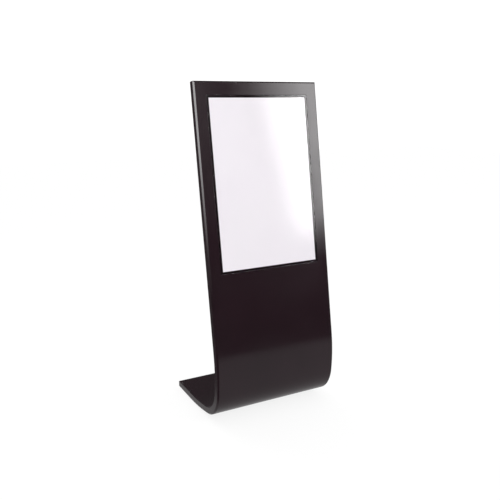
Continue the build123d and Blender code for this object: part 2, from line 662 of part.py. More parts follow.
# ---------------------------------------------------------------- electronics
PORT_DEPTH = 18.5          # depth of the inner leads and of the sockets that they end in
LEAD_PASSAGE_RADIUS = 6.0
SUPPLY_LEAD_X = -45.0
DRIVER_X = -110.0
DRIVER_SLANT = 1185.0
DRIVER_SIZE = (170.0, 116.0)
TIMING_X = 0.0
TIMING_SLANT = 1340.0
TIMING_SIZE = (240.0, 60.0)
TOUCH_X = -200.0
TOUCH_SLANT = 1060.0
TOUCH_SIZE = (100.0, 56.0)
PLUG_LENGTH = 9.0          # a board's lead sockets end flush with its lower edge
PLUG_TALL = 4.5
BOARD_FRONT = TRAY_BACK + 2.6
BOARD_BACK = BOARD_FRONT + 1.6
BOARD_CORNER = 2.0
PILLAR_RADIUS = 3.0
PILLAR_INSET = 6.0


def circuit_board(x, slant, size, parts):
    """Board on four pillars, with its larger parts as blocks: x, slant, width, height, tall."""
    width, height = size
    board = slab_plate(width, height, BOARD_FRONT, BOARD_BACK, x=x, slant=slant, corner=BOARD_CORNER)
    for x_side in SIDES.values():
        for slant_side in SIDES.values():
            pillar_x = x + x_side * (width / 2 - PILLAR_INSET)
            pillar_slant = slant + slant_side * (height / 2 - PILLAR_INSET)
            board += slab_disc(PILLAR_RADIUS, TRAY_BACK, BOARD_FRONT, pillar_x, pillar_slant)
    for part_x, part_slant, part_width, part_height, tall in parts.values():
        board += slab_plate(
            part_width, part_height, BOARD_BACK, BOARD_BACK + tall, x=x + part_x, slant=slant + part_slant)
    return board


def driver_board():
    """Board that turns the player's video into signals for the cell."""
    plug_row = (PLUG_LENGTH - DRIVER_SIZE[1]) / 2
    parts = {
        "scaler": (0, 0, 34, 34, 4),
        "coil": (-60, 30, 14, 22, 5),
        "regulator": (55, 20, 22, 14, 5),
        "video_plug": (0, plug_row, 24, PLUG_LENGTH, PLUG_TALL),
        "supply_plug": (SUPPLY_LEAD_X - DRIVER_X, plug_row, 20, PLUG_LENGTH, PLUG_TALL),
    }
    for step in range(3):
        parts[f"capacitor_{step}"] = (-60 + 12 * step, -20, 8, 8, 5)
    return circuit_board(DRIVER_X, DRIVER_SLANT, DRIVER_SIZE, parts)


def timing_board():
    """Long narrow board beside the cell's flat cables."""
    parts = {"timing_chip": (0, 0, 24, 24, 3)}
    for step in (-2, -1, 1, 2):
        parts[f"flat_cable_{step}"] = (40 * step, 20, 34, 7, 3)
    return circuit_board(TIMING_X, TIMING_SLANT, TIMING_SIZE, parts)


def touch_controller():
    """Board that reads the touch sensor."""
    plug_row = (PLUG_LENGTH - TOUCH_SIZE[1]) / 2
    parts = {
        "touch_chip": (0, 0, 16, 16, 2.5),
        "lead_plug": (0, plug_row, 14, PLUG_LENGTH, PLUG_TALL),
        "sensor_cable": (15, 18, 40, 6, 3),
    }
    return circuit_board(TOUCH_X, TOUCH_SLANT, TOUCH_SIZE, parts)


PLAYER_X = -100.0
PLAYER_SLANT = 655.0
PLAYER_SIZE = 180.0
PLAYER_TOP = PLAYER_SLANT + PLAYER_SIZE / 2
PLAYER_FRONT = 4.0
PLAYER_BACK = 29.0
PLAYER_WALL = 1.2
PLAYER_CORNER = 8.0
PLAYER_VENTS = 10
PLAYER_VENT_SIZE = (70.0, 3.0)
PLAYER_VENT_PITCH = 7.0
PLAYER_VENT_X = PLAYER_X + 20
PLAYER_VENT_LOW = PLAYER_SLANT - 30
PLAYER_PORTS = (DRIVER_X, DRIVER_X - 50)
PORT_HALF_WIDTH = 8.0
PORT_HALF_DEPTH = 4.0
PORT_GAP = 1.0             # round a port in the case's opening
PORT_INSET = 6.0           # the ports' mouths are this far inside the case
PORT_LENGTH = 16.0

MAIN_BOARD_SIZE = 160.0
MAIN_BOARD_FRONT = 9.0
MAIN_BOARD_BACK = 10.6
MAIN_BOARD_CORNER = 3.0
HEAT_SINK_SIZE = 46.0
HEAT_SINK_HEIGHT = 9.4
HEAT_SINK_AT = (PLAYER_X + 20, PLAYER_SLANT + 5)
MEMORY_SIZE = (20.0, 130.0, 3.4)
MEMORY_AT = (PLAYER_X - 50, PLAYER_SLANT)

BUTTON_X = PLAYER_X - 70
BUTTON_SLANT = PLAYER_SLANT - 70
BUTTON_RADIUS = 6.0
BUTTON_LENGTH = 5.0
BUTTON_PROUD = 1.0
BUTTON_CROWN = 0.6
BUTTON_GAP = 0.3


def player_case():
    """Aluminium case of the media player, with vents, ports and a hole for its power button."""
    inner = PLAYER_SIZE - 2 * PLAYER_WALL
    through = (PLAYER_BACK - PLAYER_WALL - CUT_PAST, PLAYER_BACK + CUT_PAST)
    case = slab_plate(
        PLAYER_SIZE, PLAYER_SIZE, PLAYER_FRONT, PLAYER_BACK, PLAYER_X, PLAYER_SLANT, PLAYER_CORNER)
    case -= slab_plate(
        inner, inner, PLAYER_FRONT + PLAYER_WALL, PLAYER_BACK - PLAYER_WALL, PLAYER_X, PLAYER_SLANT,
        PLAYER_CORNER - PLAYER_WALL)
    case -= slab_disc(BUTTON_RADIUS + BUTTON_GAP, *through, BUTTON_X, BUTTON_SLANT)
    for step in range(PLAYER_VENTS):
        slant = PLAYER_VENT_LOW + PLAYER_VENT_PITCH * step
        case -= slab_plate(*PLAYER_VENT_SIZE, *through, x=PLAYER_VENT_X, slant=slant)
    for x in PLAYER_PORTS:
        case -= slab_span(
            x - PORT_HALF_WIDTH, x + PORT_HALF_WIDTH, PLAYER_TOP - PLAYER_WALL - CUT_PAST,
            PLAYER_TOP + CUT_PAST, PORT_DEPTH - PORT_HALF_DEPTH, PORT_DEPTH + PORT_HALF_DEPTH)
    return case


def player_board():
    """Main board inside the media player: heat sink, memory and the leads' ports."""
    back = MAIN_BOARD_BACK
    memory_width, memory_height, memory_tall = MEMORY_SIZE
    board = slab_plate(
        MAIN_BOARD_SIZE, MAIN_BOARD_SIZE, MAIN_BOARD_FRONT, back, PLAYER_X, PLAYER_SLANT, MAIN_BOARD_CORNER)
    board += slab_plate(HEAT_SINK_SIZE, HEAT_SINK_SIZE, back, back + HEAT_SINK_HEIGHT, *HEAT_SINK_AT)
    board += slab_plate(memory_width, memory_height, back, back + memory_tall, *MEMORY_AT)
    mouth = PLAYER_TOP - PORT_INSET
    for x in PLAYER_PORTS:
        board += slab_span(
            x - PORT_HALF_WIDTH + PORT_GAP, x + PORT_HALF_WIDTH - PORT_GAP, mouth - PORT_LENGTH, mouth, back,
            PORT_DEPTH + PORT_HALF_DEPTH - PORT_GAP)
    return board


def player_button():
    """Power button of the media player; it travels into the case."""
    far = PLAYER_BACK + BUTTON_PROUD
    cap = slab_disc(BUTTON_RADIUS, far - BUTTON_LENGTH, far, BUTTON_X, BUTTON_SLANT)
    return fillet(cap.edges().sort_by(Axis.Y)[-1], BUTTON_CROWN)


PLAYER_BRACKET_WIDTH = PLAYER_SIZE - 40
PLAYER_BRACKET_HEIGHT = PLAYER_SIZE + 30
PLAYER_BRACKET_DEPTH = 14.0
PLAYER_BRACKET_SHEET = 2.0
PLAYER_BRACKET_GAP = 0.3
PLAYER_FLANGE_RISE = PLAYER_SIZE / 2 + 3


def player_bracket():
    """Sheet bracket that holds the media player to the shell."""
    near = SHELL_WALL + WELD_GAP
    bracket = slab_plate(
        PLAYER_BRACKET_WIDTH, PLAYER_BRACKET_HEIGHT, near, PLAYER_FRONT - PLAYER_BRACKET_GAP, PLAYER_X,
        PLAYER_SLANT)
    for side in SIDES.values():
        edge = PLAYER_SLANT + side * PLAYER_FLANGE_RISE
        bracket += slab_plate(
            PLAYER_BRACKET_WIDTH, PLAYER_BRACKET_SHEET, near, PLAYER_BRACKET_DEPTH, PLAYER_X, edge)
    return bracket


SUPPLY_X = 105.0
SUPPLY_SLANT = 650.0
SUPPLY_SIZE = (110.0, 200.0)
SUPPLY_TOP = SUPPLY_SLANT + SUPPLY_SIZE[1] / 2
SUPPLY_BOTTOM = SUPPLY_SLANT - SUPPLY_SIZE[1] / 2
SUPPLY_FRONT = 3.0
SUPPLY_BACK = 29.0
SUPPLY_WALL = 1.2
SUPPLY_SOLID_END = 25.0    # transformer block at the terminals' end
SUPPLY_HOLE_RADIUS = 3.0
SUPPLY_HOLE_PITCH = 16.0
SUPPLY_HOLE_COLUMNS = 5
SUPPLY_HOLE_ROWS = 9
SUPPLY_HOLES_LOW = SUPPLY_SLANT - 50

STRIP_BLOCK = (90.0, 14.0)
STRIP_BLOCK_FRONT = 6.0
STRIP_BLOCK_BACK = 24.0
STRIP_BLOCK_GAP = 0.2
STRIP_CELLS = 7
STRIP_CELL = (8.0, 10.0)
STRIP_CELL_PITCH = 12.0
STRIP_CELL_DEPTH = 6.0

TERMINAL_SIZE = (44.0, 40.0)
TERMINAL_BACK = 32.0
TERMINAL_HOLE_RADIUS = 3.0
TERMINAL_HOLE_DEPTH = 6.0
TERMINAL_HOLE_PITCH = 14.0
TERMINAL_HOLE_ROWS = (-12.0, 12.0)


def power_supply():
    """Perforated case of the power supply."""
    width, height = SUPPLY_SIZE
    case = slab_plate(width, height, SUPPLY_FRONT, SUPPLY_BACK, SUPPLY_X, SUPPLY_SLANT)
    case -= slab_span(
        SUPPLY_X - width / 2 + SUPPLY_WALL, SUPPLY_X + width / 2 - SUPPLY_WALL,
        SUPPLY_BOTTOM + SUPPLY_SOLID_END, SUPPLY_TOP - SUPPLY_WALL, SUPPLY_FRONT + SUPPLY_WALL,
        SUPPLY_BACK - SUPPLY_WALL)
    for column in range(SUPPLY_HOLE_COLUMNS):
        x = SUPPLY_X + (column - (SUPPLY_HOLE_COLUMNS - 1) / 2) * SUPPLY_HOLE_PITCH
        for row in range(SUPPLY_HOLE_ROWS):
            slant = SUPPLY_HOLES_LOW + row * SUPPLY_HOLE_PITCH
            case -= slab_disc(
                SUPPLY_HOLE_RADIUS, SUPPLY_BACK - SUPPLY_WALL - CUT_PAST, SUPPLY_BACK + CUT_PAST, x, slant)
    return case


def supply_terminals():
    """Screw terminals at the lower end of the power supply."""
    width, height = STRIP_BLOCK
    slant = SUPPLY_BOTTOM - STRIP_BLOCK_GAP - height / 2
    block = slab_plate(width, height, STRIP_BLOCK_FRONT, STRIP_BLOCK_BACK, SUPPLY_X, slant)
    for cell in range(STRIP_CELLS):
        x = SUPPLY_X + (cell - (STRIP_CELLS - 1) / 2) * STRIP_CELL_PITCH
        block -= slab_plate(
            *STRIP_CELL, STRIP_BLOCK_BACK - STRIP_CELL_DEPTH, STRIP_BLOCK_BACK + CUT_PAST, x=x, slant=slant)
    return block


def terminal_block():
    """Block where the mains lead ends and the inner wiring starts."""
    width, height = TERMINAL_SIZE
    middle = TERMINAL_BOTTOM + height / 2
    block = slab_plate(width, height, SHELL_WALL + WELD_GAP, TERMINAL_BACK, slant=middle)
    for step in (-1, 0, 1):
        for row in TERMINAL_HOLE_ROWS:
            block -= slab_disc(
                TERMINAL_HOLE_RADIUS, TERMINAL_BACK - TERMINAL_HOLE_DEPTH, TERMINAL_BACK + CUT_PAST,
                step * TERMINAL_HOLE_PITCH, middle + row)
    return block


VIDEO_LEAD_RADIUS = 3.0
TOUCH_LEAD_RADIUS = 2.2
TOUCH_LEAD_BEND = 60.0
TOUCH_LEAD_TURNS = (850.0, 900.0)
SUPPLY_LEAD_RADIUS = 2.6
SUPPLY_LEAD_BEND = 50.0
SUPPLY_LEAD_TURNS = (800.0, 930.0)
SUPPLY_LEAD_START = SUPPLY_X - 25


def plate_lead(x_from, x_to, slant_from, slant_to, turns, radius, bend):
    """Inner lead that lies parallel to the front: it crosses over between its two turns."""
    points = [(x_from, slant_from), (x_from, turns[0]), (x_to, turns[1]), (x_to, slant_to)]
    route = FilletPolyline(*[slab_point(x, slant, PORT_DEPTH) for x, slant in points], radius=bend)
    section = Plane(origin=route @ 0, z_dir=route % 0) * Circle(radius)
    return sweep(section, route)


def inner_leads():
    """Video and touch leads of the media player, and the driver board's supply lead."""
    port_mouth = PLAYER_TOP - PORT_INSET
    driver_plug = DRIVER_SLANT - DRIVER_SIZE[1] / 2
    touch_plug = TOUCH_SLANT - TOUCH_SIZE[1] / 2
    video = slope_rod(VIDEO_LEAD_RADIUS, port_mouth, driver_plug, DRIVER_X, PORT_DEPTH)
    touch = plate_lead(
        PLAYER_PORTS[1], TOUCH_X, port_mouth, touch_plug, TOUCH_LEAD_TURNS, TOUCH_LEAD_RADIUS,
        TOUCH_LEAD_BEND)
    supply = plate_lead(
        SUPPLY_LEAD_START, SUPPLY_LEAD_X, SUPPLY_TOP, driver_plug, SUPPLY_LEAD_TURNS, SUPPLY_LEAD_RADIUS,
        SUPPLY_LEAD_BEND)
    return group([video, touch, supply])


# ---------------------------------------------------------------- service door
DOOR_BOTTOM = SILL_TOP + 3
DOOR_TOP = INNER_TOP - 1.5
DOOR_LEFT = -INNER_HALF_WIDTH + 1.2
DOOR_RIGHT = INNER_HALF_WIDTH - 3
DOOR_BAR_FRONT = 27.0      # depth behind the front that the door's stiffening bars reach in to
DOOR_BAR_INSET = 17.0      # from the shell's inner wall to the outside of a bar
DOOR_BAR_WIDTH = 4.0
DOOR_BAR_END = DOOR_RIGHT - 2
DOOR_BARS_LOW = DOOR_BOTTOM + 4
DOOR_BARS_HIGH = INNER_TOP - LIP_WIDTH - 3

HINGE_X = INNER_HALF_WIDTH - 10
HINGE_DEPTH = BODY_DEPTH - 5.5
PIVOT_PIN_RADIUS = 2.5
PIVOT_RUNNING_GAP = 0.05
BUSH_RADIUS = 3.7
BRACKET_REACH = 11.0       # from the hinge axis to the free edge of a pivot bracket
CORNER_GAP = 1.5           # between the door's cut-out corner and the bracket that fills it
# Where each pivot's bush, bracket and pin run, up the slope.
PIVOTS = {
    "lower": {
        "bush": (DOOR_BARS_LOW - 3, DOOR_BARS_LOW + 6),
        "bracket": (SILL_TOP - 8, SILL_TOP + 2.6),
        "pin": (SILL_TOP - 6, DOOR_BARS_LOW + 8),
    },
    "upper": {
        "bush": (DOOR_BARS_HIGH - 6, DOOR_BARS_HIGH + 3),
        "bracket": (DOOR_BARS_HIGH + 3.3, INNER_TOP),
        "pin": (DOOR_BARS_HIGH - 8, INNER_TOP - 3),
    },
}

VENT_WIDTH = 4.0
VENT_PITCH = 9.0
VENT_ROWS = 8
VENT_BRIDGE = 8.0          # sheet left between two columns of slots
EXHAUST_LENGTH = 68.0
INTAKE_LENGTH = 46.0
INTAKE_COLUMNS = 3
INTAKE_SLANT = 545.0
FILTER_SIZE = (170.0, 84.0, 5.0)


def door_frame():
    """Four bars welded inside the door, which keep its sheet flat and hold the pivot bushes."""
    left = -INNER_HALF_WIDTH + DOOR_BAR_INSET
    right = INNER_HALF_WIDTH - DOOR_BAR_INSET
    above_low = DOOR_BARS_LOW + DOOR_BAR_WIDTH
    below_high = DOOR_BARS_HIGH - DOOR_BAR_WIDTH
    depths = (DOOR_BAR_FRONT, REAR_SHEET_DEPTH)
    return group([
        slab_span(left, left + DOOR_BAR_WIDTH, above_low, below_high, *depths),
        slab_span(right - DOOR_BAR_WIDTH, right, above_low, below_high, *depths),
        slab_span(left, DOOR_BAR_END, DOOR_BARS_LOW, above_low, *depths) - bush_hole("lower"),
        slab_span(left, DOOR_BAR_END, below_high, DOOR_BARS_HIGH, *depths) - bush_hole("upper"),
    ])


def vent_slots(x, slant, columns, length):
    """Grid of slots through the door."""
    slots = []
    for column in range(columns):
        slot_x = x + (column - (columns - 1) / 2) * (length + VENT_BRIDGE)
        for row in range(VENT_ROWS):
            slot_slant = slant + (row - (VENT_ROWS - 1) / 2) * VENT_PITCH
            place = SLAB * Pos(slot_x, slot_slant, -BODY_DEPTH - CUT_PAST)
            slots.append(extrude(place * SlotOverall(length, VENT_WIDTH), amount=REAR_SHEET + 2 * CUT_PAST))
    return slots


def service_door():
    """Rear door's sheet, with vents for intake and exhaust, two lock holes and a corner cut out."""
    door = slab_span(DOOR_LEFT, DOOR_RIGHT, DOOR_BOTTOM, DOOR_TOP, REAR_SHEET_DEPTH, BODY_DEPTH)
    through = (REAR_SHEET_DEPTH - CUT_PAST, BODY_DEPTH + CUT_PAST)
    for side in SIDES.values():
        door -= vent_slots(side * FAN_X, FAN_SLANT, 1, EXHAUST_LENGTH)
        door -= vent_slots(side * FAN_X, INTAKE_SLANT, INTAKE_COLUMNS, INTAKE_LENGTH)
        door -= screw_holes(fan_screw_places(side), REAR_SHEET)
    for slant in LOCKS.values():
        door -= slab_disc(LOCK_HOLE_RADIUS, *through, LOCK_X, slant)
    corner_left = HINGE_X - BRACKET_REACH - CORNER_GAP
    corner_low = PIVOTS["upper"]["bracket"][0] - CORNER_GAP / 2
    return door - slab_span(corner_left, HALF_WIDTH, corner_low, SLANT_HEIGHT, *through)


def intake_filter(side):
    """Foam pad behind the intake slots."""
    width, height, thickness = FILTER_SIZE
    return slab_plate(
        width, height, REAR_SHEET_DEPTH - thickness, REAR_SHEET_DEPTH, side * FAN_X, INTAKE_SLANT)


def bush_hole(level):
    """Bore in the door's frame that a pivot bush is pressed into."""
    return slope_rod(BUSH_RADIUS, *PIVOTS[level]["bush"], HINGE_X, HINGE_DEPTH)


def pivot_bush(level):
    """Plain bush in the door's frame, which turns on the pivot pin."""
    low, high = PIVOTS[level]["bush"]
    bore_radius = PIVOT_PIN_RADIUS + PIVOT_RUNNING_GAP
    return bush_hole(level) - slope_rod(bore_radius, low - CUT_PAST, high + CUT_PAST, HINGE_X, HINGE_DEPTH)


def pivot_pin(level):
    """Steel pin that the door turns on."""
    return slope_rod(PIVOT_PIN_RADIUS, *PIVOTS[level]["pin"], HINGE_X, HINGE_DEPTH)


def pivot_bracket(level):
    """Block fixed inside the shell that holds a pivot pin; the upper one shows beside the door."""
    back = {"lower": LIP_FRONT - WELD_GAP, "upper": BODY_DEPTH}[level]
    block = slab_span(
        HINGE_X - BRACKET_REACH, INNER_HALF_WIDTH - WELD_GAP, *PIVOTS[level]["bracket"], DOOR_BAR_FRONT, back)
    return block - pivot_pin(level)


# ---------------------------------------------------------------- locks
LOCK_X = -INNER_HALF_WIDTH + 36
LOCKS = {"lower": 640.0, "upper": 1400.0}
LOCK_BARREL_RADIUS = 9.4
LOCK_HOLE_RADIUS = 9.5
LOCK_HEAD_RADIUS = 11.5
LOCK_HEAD_PROUD = 2.0
LOCK_HEAD_BEVEL = 0.8
LOCK_NUT_RADIUS = 13.5
LOCK_NUT_THICKNESS = 3.5
PLUG_RADIUS = 6.0
PLUG_GAP = 0.05
PLUG_PROUD = 1.6
PLUG_TAIL = 7.0            # square tail of the plug, which drives the cam
PLUG_SHOULDER = 0.2        # between the cam and the plug's round part
KEY_SLOT = (1.8, 8.0)
KEY_SLOT_DEPTH = 10.0
BARREL_TO_CAM = 2.5
LOCK_CAM_BACK = 19.5
LOCK_CAM_FRONT = LOCK_CAM_BACK - 2.0
LOCK_CAM_WIDTH = 14.0
LOCK_CAM_REACH = 30.0
LOCK_CAM_EYE = 9.0
KEEPER_HALF_HEIGHT = 14.0
KEEPER_REACH = 16.0
KEEPER_SHEET = 1.5
KEEPER_CAM_GAP = 0.5
KEEPER_LIP_GAP = 0.3


def lock_body(slant):
    """Cam lock's fixed barrel, with its head outside the door."""
    head_back = BODY_DEPTH + LOCK_HEAD_PROUD
    barrel = slab_disc(LOCK_BARREL_RADIUS, LOCK_CAM_BACK + BARREL_TO_CAM, BODY_DEPTH, LOCK_X, slant)
    head = slab_disc(LOCK_HEAD_RADIUS, BODY_DEPTH, head_back, LOCK_X, slant)
    head = chamfer(head.edges().sort_by(Axis.Y)[-1], LOCK_HEAD_BEVEL)
    bore = slab_disc(PLUG_RADIUS + PLUG_GAP, LOCK_CAM_BACK, head_back + CUT_PAST, LOCK_X, slant)
    return barrel + head - bore


def lock_nut(slant):
    """Nut that clamps a lock to the door."""
    blank = SLAB * Pos(LOCK_X, slant, -REAR_SHEET_DEPTH) * RegularPolygon(LOCK_NUT_RADIUS, 6)
    bore = slab_disc(
        LOCK_BARREL_RADIUS, REAR_SHEET_DEPTH - LOCK_NUT_THICKNESS - CUT_PAST, REAR_SHEET_DEPTH + CUT_PAST,
        LOCK_X, slant)
    return extrude(blank, amount=LOCK_NUT_THICKNESS) - bore


def lock_plug(slant):
    """Turning plug with its key slot and square tail."""
    shoulder = LOCK_CAM_BACK + PLUG_SHOULDER
    plug = slab_disc(PLUG_RADIUS, shoulder, BODY_DEPTH + PLUG_PROUD, LOCK_X, slant)
    plug += slab_plate(PLUG_TAIL, PLUG_TAIL, LOCK_CAM_FRONT, shoulder, x=LOCK_X, slant=slant)
    slot_back = BODY_DEPTH + PLUG_PROUD + CUT_PAST
    return plug - slab_plate(*KEY_SLOT, BODY_DEPTH - KEY_SLOT_DEPTH, slot_back, x=LOCK_X, slant=slant)


def lock_cam(slant):
    """Flat cam on the plug's tail.  It hangs straight down, clear of its keeper."""
    arm_mid = slant - LOCK_CAM_REACH / 2
    cam = slab_plate(LOCK_CAM_WIDTH, LOCK_CAM_REACH, LOCK_CAM_FRONT, LOCK_CAM_BACK, x=LOCK_X, slant=arm_mid)
    cam += slab_disc(LOCK_CAM_EYE, LOCK_CAM_FRONT, LOCK_CAM_BACK, LOCK_X, slant)
    return cam - slab_plate(
        PLUG_TAIL, PLUG_TAIL, LOCK_CAM_FRONT - CUT_PAST, LOCK_CAM_BACK + CUT_PAST, x=LOCK_X, slant=slant)


def lock_keeper(slant):
    """Angle on the side wall that the turned cam catches behind."""
    near = LOCK_CAM_BACK + KEEPER_CAM_GAP
    wall = -INNER_HALF_WIDTH + WELD_GAP
    heights = (slant - KEEPER_HALF_HEIGHT, slant + KEEPER_HALF_HEIGHT)
    hook = slab_span(wall, wall + KEEPER_REACH, *heights, near, near + KEEPER_SHEET)
    return hook + slab_span(wall, wall + KEEPER_SHEET, *heights, near, LIP_FRONT - KEEPER_LIP_GAP)


# ---------------------------------------------------------------- fans
FAN_X = 120.0
FAN_SLANT = 1620.0
FAN_SIZE = 80.0
FAN_FRONT = 21.0
FAN_CORNER = 4.0
FAN_HOLE_OFFSET = FAN_SIZE / 2 - 4.5
FAN_DUCT_RADIUS = 38.5
FAN_HUB_RADIUS = 15.0
FAN_HUB_CROWN = 1.5
FAN_ARM = (25.0, 4.0, 2.5)
FAN_ARM_MIDDLE = 27.0
FAN_ARM_TURNS = (90, 210, 330)
FAN_SCREW = (14.0, 3.4, 1.4)
ROTOR_FRONT = FAN_FRONT + 3.2
ROTOR_BACK = REAR_SHEET_DEPTH - 1
BLADES = 7
BLADE_TIP = 37.0
BLADE = (30.0, 18.0, 1.4)
BLADE_MIDDLE = 26.0
BLADE_PITCH = 38.0
BLADE_INSET = 0.4          # the blades stay this far inside the hub's ends


def fan_screw_places(side):
    """Places of a fan's four screws, outside the door."""
    places = []
    for x_side in SIDES.values():
        for slant_side in SIDES.values():
            x = side * FAN_X + x_side * FAN_HOLE_OFFSET
            places.append(facing_back(x, FAN_SLANT + slant_side * FAN_HOLE_OFFSET, BODY_DEPTH))
    return places


def fan_frame(side):
    """Square frame of an exhaust fan, with three arms that carry the motor."""
    x = side * FAN_X
    arm_depth = FAN_FRONT + FAN_ARM[2] / 2
    frame = slab_plate(FAN_SIZE, FAN_SIZE, FAN_FRONT, REAR_SHEET_DEPTH, x, FAN_SLANT, FAN_CORNER)
    frame -= slab_disc(FAN_DUCT_RADIUS, FAN_FRONT - CUT_PAST, BODY_DEPTH, x, FAN_SLANT)
    frame += slab_disc(FAN_HUB_RADIUS, FAN_FRONT, FAN_FRONT + FAN_ARM[2], x, FAN_SLANT)
    for turn in FAN_ARM_TURNS:
        arm = Pos(FAN_ARM_MIDDLE, 0, 0) * Box(*FAN_ARM)
        frame += SLAB * Pos(x, FAN_SLANT, -arm_depth) * Rot(0, 0, turn) * arm
    return frame - screw_holes(fan_screw_places(side), BODY_DEPTH - FAN_FRONT)


def fan_rotor(side):
    """Hub and blades of an exhaust fan."""
    x = side * FAN_X
    hub = slab_disc(FAN_HUB_RADIUS, ROTOR_FRONT, ROTOR_BACK, x, FAN_SLANT)
    hub = fillet(hub.edges().sort_by(Axis.Y)[-1], FAN_HUB_CROWN)
    swept = slab_disc(BLADE_TIP, ROTOR_FRONT + BLADE_INSET, ROTOR_BACK - BLADE_INSET, x, FAN_SLANT)
    axis = SLAB * Pos(x, FAN_SLANT, -(ROTOR_FRONT + ROTOR_BACK) / 2)
    blade = Pos(BLADE_MIDDLE, 0, 0) * Rot(BLADE_PITCH, 0, 0) * Box(*BLADE)
    blades = [axis * Rot(0, 0, number * 360 / BLADES) * blade & swept for number in range(BLADES)]
    return hub + blades


def fan_screws():
    """Screws of both fans, seen from outside."""
    places = fan_screw_places(SIDES["left"]) + fan_screw_places(SIDES["right"])
    return group([place * screw(*FAN_SCREW) for place in places])


# ---------------------------------------------------------------- assembly
PARTS = {
    "body_shell": body_shell(),
    "rear_skin": rear_skin(),
    "rear_skin_screws": rear_skin_screws(),
    "sill_rail": sill_rail(),
    "foot_screws": foot_screws(),
    "power_inlet": power_inlet(),
    "inlet_pins": inlet_pins(),
    "switch_housing": switch_housing(),
    "switch_rocker": switch_rocker(),
    "mains_lead": mains_lead(),
    "lead_clips": lead_clips(),
    "glass_frame": glass_frame(),
    "touch_glass": touch_glass(),
    "glass_gasket": glass_gasket(),
    "lcd_cell": lcd_cell(),
    "light_guide": light_guide(),
    "backlight_tray": backlight_tray(),
    "led_strips": led_strips(),
    "bracket_screws": bracket_screws(),
    "driver_board": driver_board(),
    "timing_board": timing_board(),
    "touch_controller": touch_controller(),
    "player_case": player_case(),
    "player_board": player_board(),
    "player_button": player_button(),
    "player_bracket": player_bracket(),
    "power_supply": power_supply(),
    "supply_terminals": supply_terminals(),
    "terminal_block": terminal_block(),
    "inner_leads": inner_leads(),
    "service_door": service_door(),
    "door_frame": door_frame(),
    "fan_screws": fan_screws(),
    "intake_filters": pair(intake_filter, SIDES.values()),
    "lock_nuts": pair(lock_nut, LOCKS.values()),
    "lock_keepers": pair(lock_keeper, LOCKS.values()),
    "pivot_bushes": pair(pivot_bush, PIVOTS),
    "pivot_brackets": pair(pivot_bracket, PIVOTS),
    "pivot_pins": pair(pivot_pin, PIVOTS),
}

for row in FEET:
    PARTS[row] = feet(row)

for name, side in SIDES.items():
    PARTS["rib_" + name] = rib(side)
    PARTS["ballast_plate_" + name] = ballast_plate(side)
    PARTS["side_rail_" + name] = side_rail(side)
    PARTS["fan_frame_" + name] = fan_frame(side)
    PARTS["fan_rotor_" + name] = fan_rotor(side)

for level, slant in BRACKET_SLANTS.items():
    PARTS["display_bracket_" + level] = display_bracket(slant)

for level, slant in LOCKS.items():
    PARTS["lock_body_" + level] = lock_body(slant)
    PARTS["lock_plug_" + level] = lock_plug(slant)
    PARTS["lock_cam_" + level] = lock_cam(slant)

os.makedirs("parts", exist_ok=True)
for name, shape in PARTS.items():
    export_step(shape, "parts/" + name + ".step")
print(len(PARTS), "sub-parts")
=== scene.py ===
import bpy
import bmesh
import json
import math
import random
from mathutils import Matrix, Vector


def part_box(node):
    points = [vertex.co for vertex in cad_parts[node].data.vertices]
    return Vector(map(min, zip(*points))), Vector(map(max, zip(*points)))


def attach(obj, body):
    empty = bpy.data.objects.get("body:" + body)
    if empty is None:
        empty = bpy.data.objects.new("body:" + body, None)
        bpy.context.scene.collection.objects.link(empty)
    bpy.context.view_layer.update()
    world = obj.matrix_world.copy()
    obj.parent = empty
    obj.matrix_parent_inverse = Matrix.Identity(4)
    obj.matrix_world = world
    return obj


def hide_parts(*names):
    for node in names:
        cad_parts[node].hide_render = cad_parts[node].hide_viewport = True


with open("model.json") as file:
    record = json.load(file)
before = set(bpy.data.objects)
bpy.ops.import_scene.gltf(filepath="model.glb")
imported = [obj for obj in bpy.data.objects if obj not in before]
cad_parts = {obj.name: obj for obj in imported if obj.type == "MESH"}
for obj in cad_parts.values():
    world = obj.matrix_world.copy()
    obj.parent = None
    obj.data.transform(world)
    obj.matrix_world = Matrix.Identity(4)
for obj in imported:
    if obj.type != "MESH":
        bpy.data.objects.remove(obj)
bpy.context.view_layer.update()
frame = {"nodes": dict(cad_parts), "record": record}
nodes = frame["nodes"]
record = frame["record"]
body_of_node = {node: body for body, held in record["behaviour"]["bodies"].items() for node in held}
slot_of_node = {entry["node"]: entry["material_slot"] for entry in record["subparts"]}

# ---------------------------------------------------------------- places in the slab
# Metres.  x runs to the right, slant up the front face, depth from the front face to the back.
LEAN = math.radians(9.5)
UP_SLOPE = Vector((0, math.sin(LEAN), math.cos(LEAN)))
TO_BACK = Vector((0, math.cos(LEAN), -math.sin(LEAN)))
TO_RIGHT = Vector((1, 0, 0))
SCREEN_MID_SLANT = 1.25025          # up the front face, from the point where it would meet the floor
GLASS_THICKNESS = 0.004
glass_low, glass_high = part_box("touch_glass")
glass_middle = (glass_low + glass_high) / 2 - TO_BACK * GLASS_THICKNESS / 2
VERTEX = glass_middle - UP_SLOPE * SCREEN_MID_SLANT


def slab_point(x, slant, depth):
    """World point at a place in the slab."""
    return VERTEX + TO_RIGHT * x + UP_SLOPE * slant + TO_BACK * depth


def slab_matrix(x, slant, depth):
    """Local x to the right, y up the slope, z out of the back of the slab, as seen from the front."""
    turn = Matrix((TO_RIGHT, UP_SLOPE, TO_BACK)).transposed().to_4x4()
    return Matrix.Translation(slab_point(x, slant, depth)) @ turn


def slab_box(node):
    """Lowest and highest x, slant and depth of a CAD node, as two vectors."""
    shape = nodes[node]
    reach = [shape.matrix_world @ vertex.co - VERTEX for vertex in shape.data.vertices]
    places = [(point.x, point.dot(UP_SLOPE), point.dot(TO_BACK)) for point in reach]
    return Vector([min(axis) for axis in zip(*places)]), Vector([max(axis) for axis in zip(*places)])


